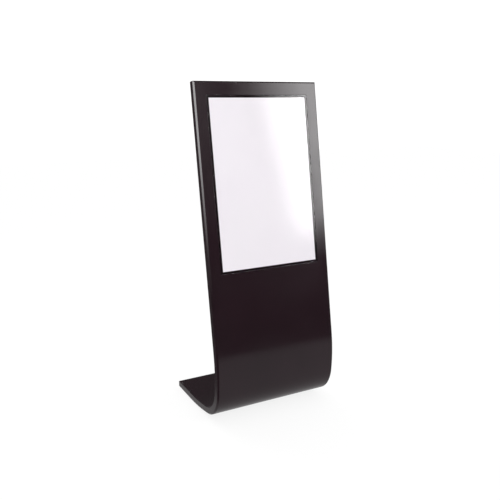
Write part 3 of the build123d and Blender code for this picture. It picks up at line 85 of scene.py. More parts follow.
def slab_middle(node):
    """x, slant and depth of a CAD node's middle."""
    low, high = slab_box(node)
    return (low + high) / 2


# ---------------------------------------------------------------- camera
PHOTO_SIDE = 500
FOCAL_PIXELS = 612.8
SENSOR = 36.0
YAW = math.radians(27.59)
PITCH = math.radians(13.64)
ROLL = math.radians(-0.18)
CAMERA_AT = Vector((-1.5178, -2.8655, 1.6405))


def make_camera():
    """Camera at the photograph's viewing angle."""
    forward = Vector((math.sin(YAW) * math.cos(PITCH), math.cos(YAW) * math.cos(PITCH), -math.sin(PITCH)))
    right = Vector((math.cos(YAW), -math.sin(YAW), 0))
    up = right.cross(forward)
    turned_right = right * math.cos(ROLL) + up * math.sin(ROLL)
    turned_up = up * math.cos(ROLL) - right * math.sin(ROLL)
    data = bpy.data.cameras.new("camera")
    data.sensor_width = SENSOR
    data.lens = FOCAL_PIXELS * SENSOR / PHOTO_SIDE
    camera = bpy.data.objects.new("camera", data)
    axes = Matrix((turned_right, turned_up, -forward)).transposed()
    camera.matrix_world = Matrix.Translation(CAMERA_AT) @ axes.to_4x4()
    bpy.context.scene.collection.objects.link(camera)
    bpy.context.scene.camera = camera


# ---------------------------------------------------------------- node helpers
EDGE_TURN = (0.995, 0.85)           # how far the rounded normal is off the flat one, from no edge to all edge


class Graph:
    """Short way to write a shader: most methods add nodes and give back their output."""

    def __init__(self, tree):
        self.tree = tree
        tree.nodes.clear()

    def add(self, kind, **settings):
        node = self.tree.nodes.new(kind)
        for key, value in settings.items():
            setattr(node, key, value)
        return node

    def wire(self, source, socket):
        if hasattr(source, "is_output"):
            self.tree.links.new(source, socket)
        else:
            socket.default_value = source

    def math(self, operation, *values, clamp=False):
        node = self.add("ShaderNodeMath", operation=operation, use_clamp=clamp)
        for socket, value in zip(node.inputs, values):
            self.wire(value, socket)
        return node.outputs[0]

    def product(self, *values):
        result = values[0]
        for value in values[1:]:
            result = self.math("MULTIPLY", result, value)
        return result

    def smooth(self, value, low, high, to_low=0.0, to_high=1.0):
        """Soft step from one number to another as the value goes from low to high."""
        node = self.add("ShaderNodeMapRange", interpolation_type="SMOOTHSTEP")
        for name, number in zip(("From Min", "From Max", "To Min", "To Max"), (low, high, to_low, to_high)):
            self.wire(number, node.inputs[name])
        self.wire(value, node.inputs["Value"])
        return node.outputs["Result"]

    def mix(self, factor, first, second):
        """Blend of two colours: the node's seventh and eighth sockets, and its third output, are colours."""
        node = self.add("ShaderNodeMix", data_type="RGBA")
        self.wire(factor, node.inputs["Factor"])
        self.wire(first, node.inputs[6])
        self.wire(second, node.inputs[7])
        return node.outputs[2]

    def place(self, stretch=(1, 1, 1)):
        """The piece's own coordinates, stretched along each axis."""
        coordinates = self.add("ShaderNodeTexCoord").outputs["Object"]
        mapping = self.add("ShaderNodeMapping")
        self.wire(coordinates, mapping.inputs["Vector"])
        mapping.inputs["Scale"].default_value = stretch
        return mapping.outputs["Vector"]

    def noise(self, scale, detail=3.0, stretch=(1, 1, 1)):
        node = self.add("ShaderNodeTexNoise")
        self.wire(self.place(stretch), node.inputs["Vector"])
        node.inputs["Scale"].default_value = scale
        node.inputs["Detail"].default_value = detail
        return node.outputs["Fac"]

    def cells(self, scale, feature="F1"):
        node = self.add("ShaderNodeTexVoronoi", feature=feature)
        self.wire(self.place(), node.inputs["Vector"])
        node.inputs["Scale"].default_value = scale
        return node.outputs["Distance"]

    def bump(self, height, distance, normal=None):
        node = self.add("ShaderNodeBump")
        node.inputs["Strength"].default_value = 1.0
        node.inputs["Distance"].default_value = distance
        self.wire(height, node.inputs["Height"])
        if normal is not None:
            self.wire(normal, node.inputs["Normal"])
        return node.outputs["Normal"]

    def edges(self, radius):
        """(normal rounded over the edges, mask that is 1 on an edge)."""
        bevel = self.add("ShaderNodeBevel", samples=6)
        bevel.inputs["Radius"].default_value = radius
        dot = self.add("ShaderNodeVectorMath", operation="DOT_PRODUCT")
        self.wire(bevel.outputs[0], dot.inputs[0])
        self.wire(self.add("ShaderNodeNewGeometry").outputs["Normal"], dot.inputs[1])
        return bevel.outputs[0], self.smooth(dot.outputs["Value"], *EDGE_TURN)

    def surface(self, **values):
        """Principled surface: each name is a socket's, with _ for a space."""
        shader = self.add("ShaderNodeBsdfPrincipled")
        for name, value in values.items():
            self.wire(value, shader.inputs[name.replace("_", " ")])
        self.finish(shader.outputs[0])

    def finish(self, output):
        end = self.add("ShaderNodeOutputMaterial")
        self.wire(output, end.inputs["Surface"])


def grey(value):
    return (value, value, value, 1.0)


def scaled(colour, share):
    """Colour made lighter or darker, with its alpha."""
    return tuple(min(channel * share, 1.0) for channel in colour) + (1.0,)


# ---------------------------------------------------------------- studio
# Degrees: bearings run from straight in front of the kiosk towards its right, heights from the horizon.
# Each edge of a lamp is a pair: where the lamp is dark, and where it is full.  lean tilts its near edge.
PAST_ALL = (-200.0, -190.0)         # an edge below every bearing and height
BELOW_ALL = (200.0, 190.0)          # and one above them
LAMPS = {
    "front_right": {"radiance": 7.7, "lean": 0.05, "near": (29.6, 35.4), "far": (62.0, 56.0),
                    "bottom": (2.2, 6.2), "top": (50.0, 42.0)},
    "left": {"radiance": 8.5, "lean": 0.0, "near": (-95.0, -85.0), "far": (-48.0, -58.0),
             "bottom": (-4.0, 11.0), "top": (60.0, 45.0)},
    "behind": {"radiance": 2.2, "lean": 0.0, "near": (-175.0, -145.0), "far": (-95.0, -125.0),
               "bottom": (8.0, 34.0), "top": BELOW_ALL},
    "front_left": {"radiance": 0.8, "lean": 0.0, "near": PAST_ALL, "far": (29.0, 20.0),
                   "bottom": (5.0, 20.0), "top": BELOW_ALL},
}
SURROUND = 0.10
OVERHEAD = 0.03
OVERHEAD_FADE = (30.0, 58.0)
WHITE = 1.12


def degrees_of(graph, value):
    return graph.math("MULTIPLY", value, 180 / math.pi)


def lamp_glow(g, lamp, bearing, height):
    """What one soft lamp adds in a direction."""
    leaning = g.math("ADD", bearing, g.math("MULTIPLY", height, lamp["lean"]))
    return g.product(g.smooth(leaning, *lamp["near"]), g.smooth(bearing, *lamp["far"]),
                     g.smooth(height, *lamp["bottom"]), g.smooth(height, *lamp["top"]), lamp["radiance"])


def make_world():
    """White to the camera and to matte surfaces; soft lamps in a dim room to glossy ones."""
    world = bpy.data.worlds.new("studio")
    world.use_nodes = True
    bpy.context.scene.world = world
    g = Graph(world.node_tree)
    parts = g.add("ShaderNodeSeparateXYZ")
    g.wire(g.add("ShaderNodeTexCoord").outputs["Generated"], parts.inputs[0])
    x, y, z = parts.outputs
    bearing = degrees_of(g, g.math("ARCTAN2", x, g.math("MULTIPLY", y, -1.0)))
    height = degrees_of(g, g.math("ARCSINE", z))
    glow = g.smooth(height, *OVERHEAD_FADE, SURROUND, OVERHEAD)
    for lamp in LAMPS.values():
        glow = g.math("ADD", glow, lamp_glow(g, lamp, bearing, height))
    glossy = g.add("ShaderNodeLightPath").outputs["Is Glossy Ray"]
    strength = g.math("ADD", g.math("MULTIPLY", glow, glossy),
                      g.math("MULTIPLY", g.math("SUBTRACT", 1.0, glossy), WHITE))
    background = g.add("ShaderNodeBackground")
    background.inputs["Color"].default_value = grey(1.0)
    g.wire(strength, background.inputs["Strength"])
    end = g.add("ShaderNodeOutputWorld")
    g.wire(background.outputs[0], end.inputs[0])


def area_light(name, at, target, size, power):
    """Soft lamp for matte surfaces only: the gloss and the glass show the world's lamps instead."""
    data = bpy.data.lights.new(name, "AREA")
    data.shape = "RECTANGLE"
    data.size, data.size_y = size
    data.energy = power
    light = bpy.data.objects.new(name, data)
    light.location = at
    light.rotation_euler = (Vector(target) - Vector(at)).to_track_quat("-Z", "Y").to_euler()
    light.visible_glossy = False
    light.visible_transmission = False
    bpy.context.scene.collection.objects.link(light)


FLOOR_HALF = 15.0
FLOOR_WHITE = 0.85                  # share of the floor that no shadow darkens
FLOOR_NEAR = 0.50                   # what glossy surfaces see of the floor, close to the kiosk and far off
FLOOR_FAR = 0.10
FLOOR_FADE = (1.3, 4.2)             # distances over which near turns to far
FLOOR_SIDE = (-0.60, -0.36)         # and the x over which it does so on the left


def floor_glow(g):
    """How bright the floor looks in glossy surfaces."""
    spot = g.place()
    reach = g.add("ShaderNodeVectorMath", operation="LENGTH")
    g.wire(spot, reach.inputs[0])
    across = g.add("ShaderNodeSeparateXYZ")
    g.wire(spot, across.inputs[0])
    pool = g.product(g.smooth(reach.outputs["Value"], *FLOOR_FADE, 1.0, 0.0),
                     g.smooth(across.outputs["X"], *FLOOR_SIDE))
    return g.smooth(pool, 0.0, 1.0, FLOOR_FAR, FLOOR_NEAR)


def emission(g, strength):
    glow = g.add("ShaderNodeEmission")
    glow.inputs["Color"].default_value = grey(1.0)
    g.wire(strength, glow.inputs["Strength"])
    return glow.outputs[0]


def mixed(g, factor, first, second):
    mix = g.add("ShaderNodeMixShader")
    g.wire(factor, mix.inputs[0])
    g.wire(first, mix.inputs[1])
    g.wire(second, mix.inputs[2])
    return mix.outputs[0]


def shade_floor():
    """Pale floor with a faint shadow, and a dimmer one for glossy surfaces to reflect."""
    material = bpy.data.materials.new("floor_pale")
    material.use_nodes = True
    g = Graph(material.node_tree)
    matte = g.add("ShaderNodeBsdfDiffuse")
    matte.inputs["Color"].default_value = grey(0.9)
    pale = mixed(g, FLOOR_WHITE, matte.outputs[0], emission(g, 1.0))
    glossy = g.add("ShaderNodeLightPath").outputs["Is Glossy Ray"]
    g.finish(mixed(g, glossy, pale, emission(g, floor_glow(g))))
    return material


def make_floor():
    mesh = bpy.data.meshes.new("floor")
    corners = [(x * FLOOR_HALF, y * FLOOR_HALF, 0) for x, y in ((-1, -1), (1, -1), (1, 1), (-1, 1))]
    mesh.from_pydata(corners, [], [(0, 1, 2, 3)])
    mesh.materials.append(shade_floor())
    floor = bpy.data.objects.new("floor", mesh)
    bpy.context.scene.collection.objects.link(floor)


# ---------------------------------------------------------------- materials
BODY_TINTS = ((0.0096, 0.0035, 0.0058, 1), (0.0120, 0.0046, 0.0074, 1))
DUST = (0.2, 0.19, 0.18, 1)
RUBBED_PAINT = (0.05, 0.047, 0.045, 1)
SCREEN_TINTS = ((0.925, 0.875, 0.935, 1), (0.95, 0.905, 0.955, 1))
SCREEN_LIGHT = 0.885
LED_LIGHT = 2.0
RUBBED_EDGE = 0.0004


def slot_graph(name):
    material = bpy.data.materials[name]
    material.use_nodes = True
    return Graph(material.node_tree)


def shade(name, colour, rough, metal=0.0, vary=0.25, grain=0.0002, grain_scale=900.0, worn=None,
          streaks=(1, 1, 1), coat=0.0):
    """General finish: blotchy colour, uneven gloss, fine surface grain and rubbed edges."""
    g = slot_graph(name)
    blotch = g.noise(6.0, 5.0)
    tint = g.mix(g.smooth(blotch, 0.35, 0.65), scaled(colour, 1 - vary), scaled(colour, 1 + vary))
    fine = g.noise(grain_scale, 2.0, streaks)
    smooth_normal, on_edge = g.edges(RUBBED_EDGE)
    rubbed = g.math("MULTIPLY", on_edge, g.smooth(g.noise(45.0, 4.0), 0.42, 0.62))
    if worn is not None:
        tint = g.mix(g.math("MULTIPLY", rubbed, 0.7), tint, worn + (1.0,))
    gloss = g.math("ADD", g.smooth(g.noise(14.0, 6.0), 0.3, 0.7, rough * 0.85, rough * 1.2),
                   g.math("MULTIPLY", g.math("SUBTRACT", fine, 0.5), rough * 0.25))
    gloss = g.math("ADD", gloss, g.math("MULTIPLY", rubbed, 0.12))
    normal = g.bump(fine, grain, smooth_normal)
    g.surface(Base_Color=tint, Roughness=gloss, Metallic=metal, Normal=normal, IOR=1.5, Coat_Weight=coat)


def shade_paint():
    """Black powder coat under clear lacquer: a wide gloss with a faint orange peel and fine dust."""
    g = slot_graph("body_paint")
    tint = g.mix(g.smooth(g.noise(3.0, 4.0), 0.3, 0.7), *BODY_TINTS)
    dust = g.product(g.smooth(g.noise(700.0, 1.0), 0.73, 0.8), g.smooth(g.noise(9.0, 3.0), 0.45, 0.7))
    tint = g.mix(g.math("MULTIPLY", dust, 0.12), tint, DUST)
    smooth_normal, on_edge = g.edges(0.0012)
    rubbed = g.math("MULTIPLY", on_edge, g.smooth(g.noise(60.0, 4.0), 0.5, 0.66))
    tint = g.mix(g.math("MULTIPLY", rubbed, 0.25), tint, RUBBED_PAINT)
    rough = g.smooth(g.noise(5.0, 5.0), 0.3, 0.7, 0.10, 0.15)
    rough = g.math("ADD", rough, g.math("MULTIPLY", rubbed, 0.15))
    rough = g.math("ADD", rough, g.math("MULTIPLY", dust, 0.1))
    peel = g.noise(260.0, 2.0)
    normal = g.bump(peel, 0.000012, smooth_normal)
    g.surface(Base_Color=tint, Roughness=rough, Normal=normal, IOR=1.5)


def shade_glass():
    """Clear cover glass, nearly mirror smooth, with faint smears."""
    g = slot_graph("cover_glass")
    smear = g.smooth(g.noise(22.0, 6.0, (1, 1, 0.4)), 0.45, 0.75)
    rough = g.math("MULTIPLY", smear, 0.035)
    tint = g.mix(g.math("MULTIPLY", smear, 0.3), (1.0, 1.0, 1.0, 1), (0.975, 0.985, 0.98, 1))
    normal = g.bump(g.noise(18.0, 1.0), 0.000002)
    g.surface(Base_Color=tint, Roughness=rough, Normal=normal, IOR=1.5, Transmission_Weight=1.0)


def shade_screen():
    """Lit white screen, cloudy by a few per cent, as a backlight is."""
    g = slot_graph("screen_lit")
    cloud = g.smooth(g.noise(2.2, 2.0), 0.3, 0.7)
    tint = g.mix(cloud, *SCREEN_TINTS)
    g.surface(Base_Color=(0.05, 0.05, 0.05, 1), Roughness=g.smooth(cloud, 0.0, 1.0, 0.3, 0.4),
              Normal=g.bump(g.noise(1500.0, 0.0), 0.00002), Emission_Color=tint,
              Emission_Strength=SCREEN_LIGHT)


def shade_led():
    """White light-emitting diodes under their yellowish phosphor."""
    g = slot_graph("led_white")
    tint = g.mix(g.smooth(g.noise(90.0), 0.4, 0.6), (0.9, 0.88, 0.8, 1), (1.0, 0.98, 0.9, 1))
    g.surface(Base_Color=tint, Roughness=g.smooth(g.noise(200.0), 0.2, 0.8, 0.3, 0.5),
              Normal=g.bump(g.noise(800.0), 0.0001), Emission_Color=tint, Emission_Strength=LED_LIGHT)


def shade_board():
    """Solder mask with copper tracks under it and tinned pads through it."""
    g = slot_graph("circuit_board")
    blotch = g.noise(1.0, 1.0, (40, 8, 8))
    tracks = g.smooth(g.cells(160.0, "DISTANCE_TO_EDGE"), 0.10, 0.06)
    pads = g.smooth(g.cells(240.0), 0.16, 0.12)
    mask = g.mix(g.smooth(blotch, 0.4, 0.6), (0.003, 0.022, 0.011, 1), (0.005, 0.032, 0.015, 1))
    tint = g.mix(g.math("MULTIPLY", tracks, 0.55), mask, (0.010, 0.075, 0.032, 1))
    tint = g.mix(pads, tint, (0.55, 0.54, 0.5, 1))
    g.surface(Base_Color=tint, Roughness=g.smooth(g.noise(40.0), 0.3, 0.7, 0.28, 0.42),
              Metallic=g.math("MULTIPLY", pads, 0.9), Normal=g.bump(tracks, 0.00004), IOR=1.5)


def shade_foam(name, colour):
    """Open-cell foam with bumpy pores, and painted shade that darkens them in its colour."""
    g = slot_graph(name)
    pores_and_shade = g.smooth(g.cells(520.0), 0.25, 0.6)
    # painted shade: the colour is darkened in the pores, where shade would fall; the same mask gives the bump
    tint = g.mix(pores_and_shade, scaled(colour, 1.5), scaled(colour, 0.35))
    g.surface(Base_Color=tint, Roughness=g.smooth(g.noise(30.0), 0.3, 0.7, 0.85, 0.98),
              Normal=g.bump(pores_and_shade, 0.0012))


# Finishes that need no more than a colour, gloss and grain.  vary is how far the colour drifts to each
# side, grain how deep the grain is in metres, and worn the colour that shows on rubbed edges.
FINISHES = {
    "acrylic": {"colour": (0.82, 0.84, 0.86), "rough": 0.25, "coat": 0.5},
    "bare_sheet": {"colour": (0.56, 0.57, 0.59), "rough": 0.34, "metal": 1.0, "vary": 0.05,
                   "grain": 0.00003, "grain_scale": 500.0, "worn": (0.75, 0.76, 0.78),
                   "streaks": (1, 0.04, 0.04)},
    "ballast_steel": {"colour": (0.055, 0.056, 0.06), "rough": 0.6, "metal": 0.4, "vary": 0.35,
                      "grain": 0.0003, "grain_scale": 420.0, "worn": (0.3, 0.28, 0.27)},
    "player_metal": {"colour": (0.035, 0.036, 0.04), "rough": 0.38, "metal": 0.7, "vary": 0.2,
                     "grain": 0.00005, "grain_scale": 1200.0, "worn": (0.45, 0.46, 0.48)},
    "supply_metal": {"colour": (0.62, 0.63, 0.65), "rough": 0.36, "metal": 1.0, "vary": 0.12,
                     "grain": 0.00003, "grain_scale": 700.0, "worn": (0.8, 0.8, 0.82),
                     "streaks": (0.05, 1, 1)},
    "terminal_plastic": {"colour": (0.03, 0.035, 0.04), "rough": 0.45, "vary": 0.2, "grain": 0.0001,
                         "worn": (0.08, 0.085, 0.09)},
    "inlet_plastic": {"colour": (0.014, 0.014, 0.015), "rough": 0.48, "vary": 0.2, "grain": 0.00012,
                      "worn": (0.06, 0.06, 0.06)},
    "rocker_plastic": {"colour": (0.012, 0.012, 0.012), "rough": 0.22, "vary": 0.2, "grain": 0.00003,
                       "worn": (0.05, 0.05, 0.05)},
    "button_plastic": {"colour": (0.55, 0.55, 0.57), "rough": 0.3, "vary": 0.1, "grain": 0.00003,
                       "worn": (0.7, 0.7, 0.7)},
    "pin_brass": {"colour": (0.76, 0.6, 0.32), "rough": 0.24, "metal": 1.0, "vary": 0.15, "grain": 0.00003,
                  "worn": (0.9, 0.78, 0.5)},
    "lead_jacket": {"colour": (0.016, 0.016, 0.018), "rough": 0.5, "grain": 0.00008, "grain_scale": 600.0},
    "foot_rubber": {"colour": (0.018, 0.018, 0.018), "rough": 0.72, "vary": 0.3, "grain": 0.0002,
                    "grain_scale": 500.0},
    "screw_steel": {"colour": (0.09, 0.09, 0.095), "rough": 0.32, "metal": 0.9, "vary": 0.2,
                    "grain": 0.00003, "worn": (0.5, 0.5, 0.5)},
    "lock_chrome": {"colour": (0.74, 0.74, 0.76), "rough": 0.12, "metal": 1.0, "vary": 0.06,
                    "grain": 0.00001, "worn": (0.85, 0.85, 0.86)},
    "fan_plastic": {"colour": (0.02, 0.02, 0.022), "rough": 0.42, "grain": 0.00012, "grain_scale": 700.0,
                    "worn": (0.06, 0.06, 0.06)},
}


def shade_all():
    shade_paint()
    shade_glass()
    shade_screen()
    shade_led()
    shade_board()
    shade_foam("filter_foam", (0.05, 0.05, 0.055))
    shade_foam("gasket_foam", (0.012, 0.012, 0.012))
    for slot, finish in FINISHES.items():
        shade(slot, **finish)


# ---------------------------------------------------------------- pieces
def add_piece(name, mesh, body, slot, *replaced):
    """New piece that moves with a body, and stands in for the CAD nodes that it replaces."""
    piece = bpy.data.objects.new(name, mesh)
    bpy.context.scene.collection.objects.link(piece)
    mesh.materials.append(bpy.data.materials[slot])
    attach(piece, body)
    if replaced:
        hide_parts(*replaced)
    return piece


SHARP_TURN = math.radians(32)


def round_edges(piece, width):
    """Real rounded edges on every corner sharper than the curve's own facets."""
    bevel = piece.modifiers.new("rounded_edges", "BEVEL")
    bevel.width = width
    bevel.segments = 3
    bevel.limit_method = "ANGLE"
    bevel.angle_limit = SHARP_TURN
    bevel.harden_normals = True
    bevel.miter_outer = "MITER_ARC"


SAME_POINT = 1e-6
FLAT_TURN = math.radians(0.3)


def soften(node, width):
    """The CAD node's own shape with its edges rounded, in its place."""
    bm = bmesh.new()
    bm.from_mesh(nodes[node].data)
    bmesh.ops.remove_doubles(bm, verts=bm.verts, dist=SAME_POINT)
    bmesh.ops.dissolve_limit(bm, angle_limit=FLAT_TURN, verts=bm.verts, edges=bm.edges)
    points = [tuple(vertex.co) for vertex in bm.verts]
    faces = [tuple(vertex.index for vertex in face.verts) for face in bm.faces]
    bm.free()
    mesh = bpy.data.meshes.new(node + "_soft")
    mesh.from_pydata(points, [], faces)
    mesh.shade_smooth()
    piece = add_piece(node + "_soft", mesh, body_of_node[node], slot_of_node[node], node)
    round_edges(piece, width)


# ---------------------------------------------------------------- shapes in the slab
def rounded_block(bm, at, size, radius):
    """Block with all its edges rounded: at is its middle as a matrix."""
    corners = bmesh.ops.create_cube(bm, size=1.0)["verts"]
    bmesh.ops.scale(bm, vec=size, verts=corners)
    bmesh.ops.transform(bm, matrix=at, verts=corners)
    edges = list({edge for corner in corners for edge in corner.link_edges})
    bmesh.ops.bevel(bm, geom=edges, offset=radius, segments=2, affect="EDGES", profile=0.5)


def on_slab(bm, x, slant, near, far, width, height, radius):
    """Rounded block parallel to the front, between two depths."""
    middle = slab_matrix(x, slant, (near + far) / 2)
    rounded_block(bm, middle, (width, height, far - near), radius)


def turned(bm, at, profile, steps=28):
    """Solid of revolution about the local z axis, from (radius, height) pairs that start and end on it."""
    rings = []
    for radius, height in profile:
        if radius == 0:
            rings.append([bm.verts.new(at @ Vector((0, 0, height)))])
            continue
        turns = [2 * math.pi * step / steps for step in range(steps)]
        rings.append([bm.verts.new(at @ Vector((radius * math.cos(turn), radius * math.sin(turn), height)))
                      for turn in turns])
    for low, high in zip(rings, rings[1:]):
        for step in range(steps):
            after = (step + 1) % steps
            places = ((low, step), (low, after), (high, after), (high, step))
            corners = dict.fromkeys(ring[place % len(ring)] for ring, place in places)
            bm.faces.new(list(corners))


def screw_head(bm, place, radius):
    """Low round head with a socket in it."""
    turned(bm, place, [
        (0, 0), (radius, 0), (radius, radius * 0.2), (radius * 0.7, radius * 0.44),
        (radius * 0.38, radius * 0.47), (radius * 0.28, radius * 0.22), (0, radius * 0.22)], 18)


CRISP_TURN = math.radians(40)


def finished(name, bm, body, slot, *replaced):
    """Turns a bmesh into a smooth piece with crisp corners."""
    bmesh.ops.recalc_face_normals(bm, faces=bm.faces)
    mesh = bpy.data.meshes.new(name)
    bm.to_mesh(mesh)
    bm.free()
    mesh.shade_smooth()
    mesh.set_sharp_from_angle(angle=CRISP_TURN)
    return add_piece(name, mesh, body, slot, *replaced)


# ---------------------------------------------------------------- screen
SCREEN_WIDTH = 0.549
SCREEN_HEIGHT = 0.8575
PRINT_BORDER = 0.0114
PRINT_THICKNESS = 0.0001
PRINT_GAP = 0.0002


def glass_print():
    """Black printed border inside the cover glass, around the lit area."""
    bm = bmesh.new()
    back = GLASS_THICKNESS - PRINT_GAP
    rims = []
    for depth in (back - PRINT_THICKNESS, back):
        for border in (PRINT_BORDER, 0):
            half_width, half_height = SCREEN_WIDTH / 2 + border, SCREEN_HEIGHT / 2 + border
            rims.append([bm.verts.new(slab_point(x * half_width, SCREEN_MID_SLANT + y * half_height, depth))
                         for x, y in ((-1, -1), (1, -1), (1, 1), (-1, 1))])
    front_outer, front_inner, back_outer, back_inner = rims
    for low, high in ((front_outer, front_inner), (back_inner, back_outer), (back_outer, front_outer),
                      (front_inner, back_inner)):
        for step in range(4):
            after = (step + 1) % 4
            bm.faces.new((low[step], low[after], high[after], high[step]))
    piece = finished("glass_print", bm, "root", "cover_glass")
    piece.data.materials[0] = shade_print()


def shade_print():
    """Black ceramic ink, seen through the glass, so it has no gloss of its own."""
    material = bpy.data.materials.new("glass_ink")
    material.use_nodes = True
    g = Graph(material.node_tree)
    tint = g.mix(g.smooth(g.noise(300.0), 0.3, 0.7), *BODY_TINTS)
    g.surface(Base_Color=tint, Roughness=g.smooth(g.noise(90.0), 0.3, 0.7, 0.8, 0.95),
              Normal=g.bump(g.noise(2500.0), 0.00001), Specular_IOR_Level=0.0)
    return material


# ---------------------------------------------------------------- electronics
TRAY_BACK = slab_box("backlight_tray")[1].z
BOARD_FRONT = TRAY_BACK + 0.0026
BOARD_BACK = BOARD_FRONT + 0.0016
# On each board, x and rise run from its middle.  Chips: x, rise, width, height, how far they stand up.
# Cans: x, rise, radius, how far they stand up.  Sockets: as chips, and their number of pins.
BOARDS = {
    "driver_board": {
        "chips": [(0, 0, 0.034, 0.034, 0.0026), (0.05, -0.01, 0.016, 0.022, 0.0018),
                  (0.052, 0.032, 0.010, 0.006, 0.0016)],
        "cans": [(-0.060, -0.020, 0.0038, 0.005), (-0.048, -0.020, 0.0038, 0.005),
                 (-0.036, -0.020, 0.0038, 0.005), (-0.072, 0.034, 0.0045, 0.0045),
                 (-0.060, 0.034, 0.0045, 0.0045)],
        "sockets": [(0, -0.0535, 0.024, 0.009, 0.0045, 10), (0.065, -0.0535, 0.020, 0.009, 0.0045, 4),
                    (0.02, 0.048, 0.036, 0.006, 0.003, 20)],
        "small": 60,
    },
    "timing_board": {
        "chips": [(0, 0, 0.024, 0.024, 0.002), (0.05, -0.008, 0.012, 0.012, 0.0016),
                  (-0.05, -0.008, 0.012, 0.012, 0.0016)],
        "cans": [(0.095, -0.012, 0.0035, 0.003), (-0.095, -0.012, 0.0035, 0.003)],
        "sockets": [(x, 0.020, 0.034, 0.007, 0.003, 18) for x in (-0.08, -0.04, 0.04, 0.08)],
        "small": 50,
    },
    "touch_controller": {
        "chips": [(0, 0, 0.016, 0.016, 0.0018), (-0.03, 0.008, 0.008, 0.010, 0.0014)],
        "cans": [(0.034, -0.008, 0.003, 0.003)],
        "sockets": [(0, -0.0235, 0.014, 0.009, 0.0045, 5), (0.015, 0.018, 0.040, 0.006, 0.003, 22)],
        "small": 26,
    },
}
PILLAR_INSET = 0.006
LEG_PITCH = 0.0016
LEG_LENGTH = 0.0014
LEG_WIDTH = 0.0006


def chip(plastic, metal, x, slant, width, height, tall):
    """Flat chip with rows of legs: on its left and right if it is square, on all four sides if it isn't."""
    on_slab(plastic, x, slant, BOARD_BACK + 0.0002, BOARD_BACK + tall, width, height, 0.0003)
    for across, along in ((width, height), (height, width)):
        legs = int(along / LEG_PITCH) - 2
        for side in (-1, 1):
            for leg in range(legs):
                shift = (leg - (legs - 1) / 2) * LEG_PITCH
                reach = side * (across / 2 + LEG_LENGTH / 2 - 0.0001)
                place = (x + reach, slant + shift) if across == width else (x + shift, slant + reach)
                size = (LEG_LENGTH, LEG_WIDTH) if across == width else (LEG_WIDTH, LEG_LENGTH)
                on_slab(metal, *place, BOARD_BACK, BOARD_BACK + 0.0007, *size, 0.0001)


def can_capacitor(metal, x, slant, radius, tall):
    """Aluminium capacitor: a drawn can with a groove near its foot."""
    place = slab_matrix(x, slant, BOARD_BACK)
    turned(metal, place, [
        (0, 0), (radius, 0), (radius, tall * 0.18), (radius * 0.88, tall * 0.24), (radius, tall * 0.3),
        (radius, tall * 0.93), (radius * 0.9, tall), (0, tall)])


def pin_socket(plastic, metal, x, slant, width, height, tall, pins):
    """Open plug socket with a row of pins."""
    wall = 0.001
    near, far = BOARD_BACK, BOARD_BACK + tall
    for side in (-1, 1):
        on_slab(plastic, x + side * (width - wall) / 2, slant, near, far, wall, height, 0.0002)
        on_slab(plastic, x, slant + side * (height - wall) / 2, near, far, width, wall, 0.0002)
    on_slab(plastic, x, slant, near, near + tall * 0.4, width, height, 0.0002)
    for pin in range(pins):
        shift = (pin - (pins - 1) / 2) * (width - 0.004) / max(pins - 1, 1)
        on_slab(metal, x + shift, slant, near, far - 0.0008, 0.0007, 0.0007, 0.0001)


ROW_PITCH = 0.004
PART_ROOM = 0.006


def small_parts(plastic, metal, board, blocked, rng, count):
    """Resistors and chip capacitors in loose rows, kept off the larger parts."""
    middle = slab_middle(board)
    low, high = slab_box(board)
    width, height = high.x - low.x, high.y - low.y
    placed = 0
    while placed < count:
        x = middle.x + (rng.random() - 0.5) * (width - 0.02)
        slant = middle.y + round((rng.random() - 0.5) * (height - 0.018) / ROW_PITCH) * ROW_PITCH
        if any(abs(x - taken_x) < (wide + PART_ROOM) / 2 and abs(slant - taken_slant) < (tall + PART_ROOM) / 2
               for taken_x, taken_slant, wide, tall in blocked):
            continue
        on_slab(plastic, x, slant, BOARD_BACK, BOARD_BACK + 0.0006, 0.0016, 0.0010, 0.0001)
        for side in (-1, 1):
            on_slab(metal, x + side * 0.0009, slant, BOARD_BACK, BOARD_BACK + 0.00065, 0.0004, 0.0011, 0.0001)
        blocked.append((x, slant, 0.001, 0.001))
        placed += 1


def board_sheet(name):
    """Laminate with rounded corners, on four round pillars, each with a screw."""
    low, high = slab_box(name)
    middle = slab_middle(name)
    sheet = bmesh.new()
    on_slab(sheet, middle.x, middle.y, BOARD_FRONT, BOARD_BACK, high.x - low.x, high.y - low.y, 0.0003)
    finished(name + "_sheet", sheet, "root", "circuit_board", name)
    pillars = bmesh.new()
    top = BOARD_BACK - TRAY_BACK
    for x in (low.x + PILLAR_INSET, high.x - PILLAR_INSET):
        for slant in (low.y + PILLAR_INSET, high.y - PILLAR_INSET):
            corner = slab_matrix(x, slant, TRAY_BACK)
            turned(pillars, corner, [(0, 0), (0.003, 0), (0.003, top - 0.0016), (0, top - 0.0016)], 6)
            screw_head(pillars, corner @ Matrix.Translation((0, 0, top)), 0.0027)
    finished(name + "_screws", pillars, "root", "supply_metal")


def board_parts():
    """Chips, capacitors, sockets and small parts of the three boards behind the display."""
    rng = random.Random(11)
    for name, plan in BOARDS.items():
        board_sheet(name)
        x, slant = slab_middle(name).xy
        plastic, metal = bmesh.new(), bmesh.new()
        blocked = []
        for shift, rise, width, height, tall in plan["chips"]:
            chip(plastic, metal, x + shift, slant + rise, width, height, tall)
            blocked.append((x + shift, slant + rise, width, height))
        for shift, rise, radius, tall in plan["cans"]:
            can_capacitor(metal, x + shift, slant + rise, radius, tall)
            blocked.append((x + shift, slant + rise, 2 * radius, 2 * radius))
        for shift, rise, width, height, tall, pins in plan["sockets"]:
            pin_socket(plastic, metal, x + shift, slant + rise, width, height, tall, pins)
            blocked.append((x + shift, slant + rise, width, height))
        small_parts(plastic, metal, name, blocked, rng, plan["small"])
        finished(name + "_plastic", plastic, "root", "terminal_plastic")
        finished(name + "_metal", metal, "root", "supply_metal")


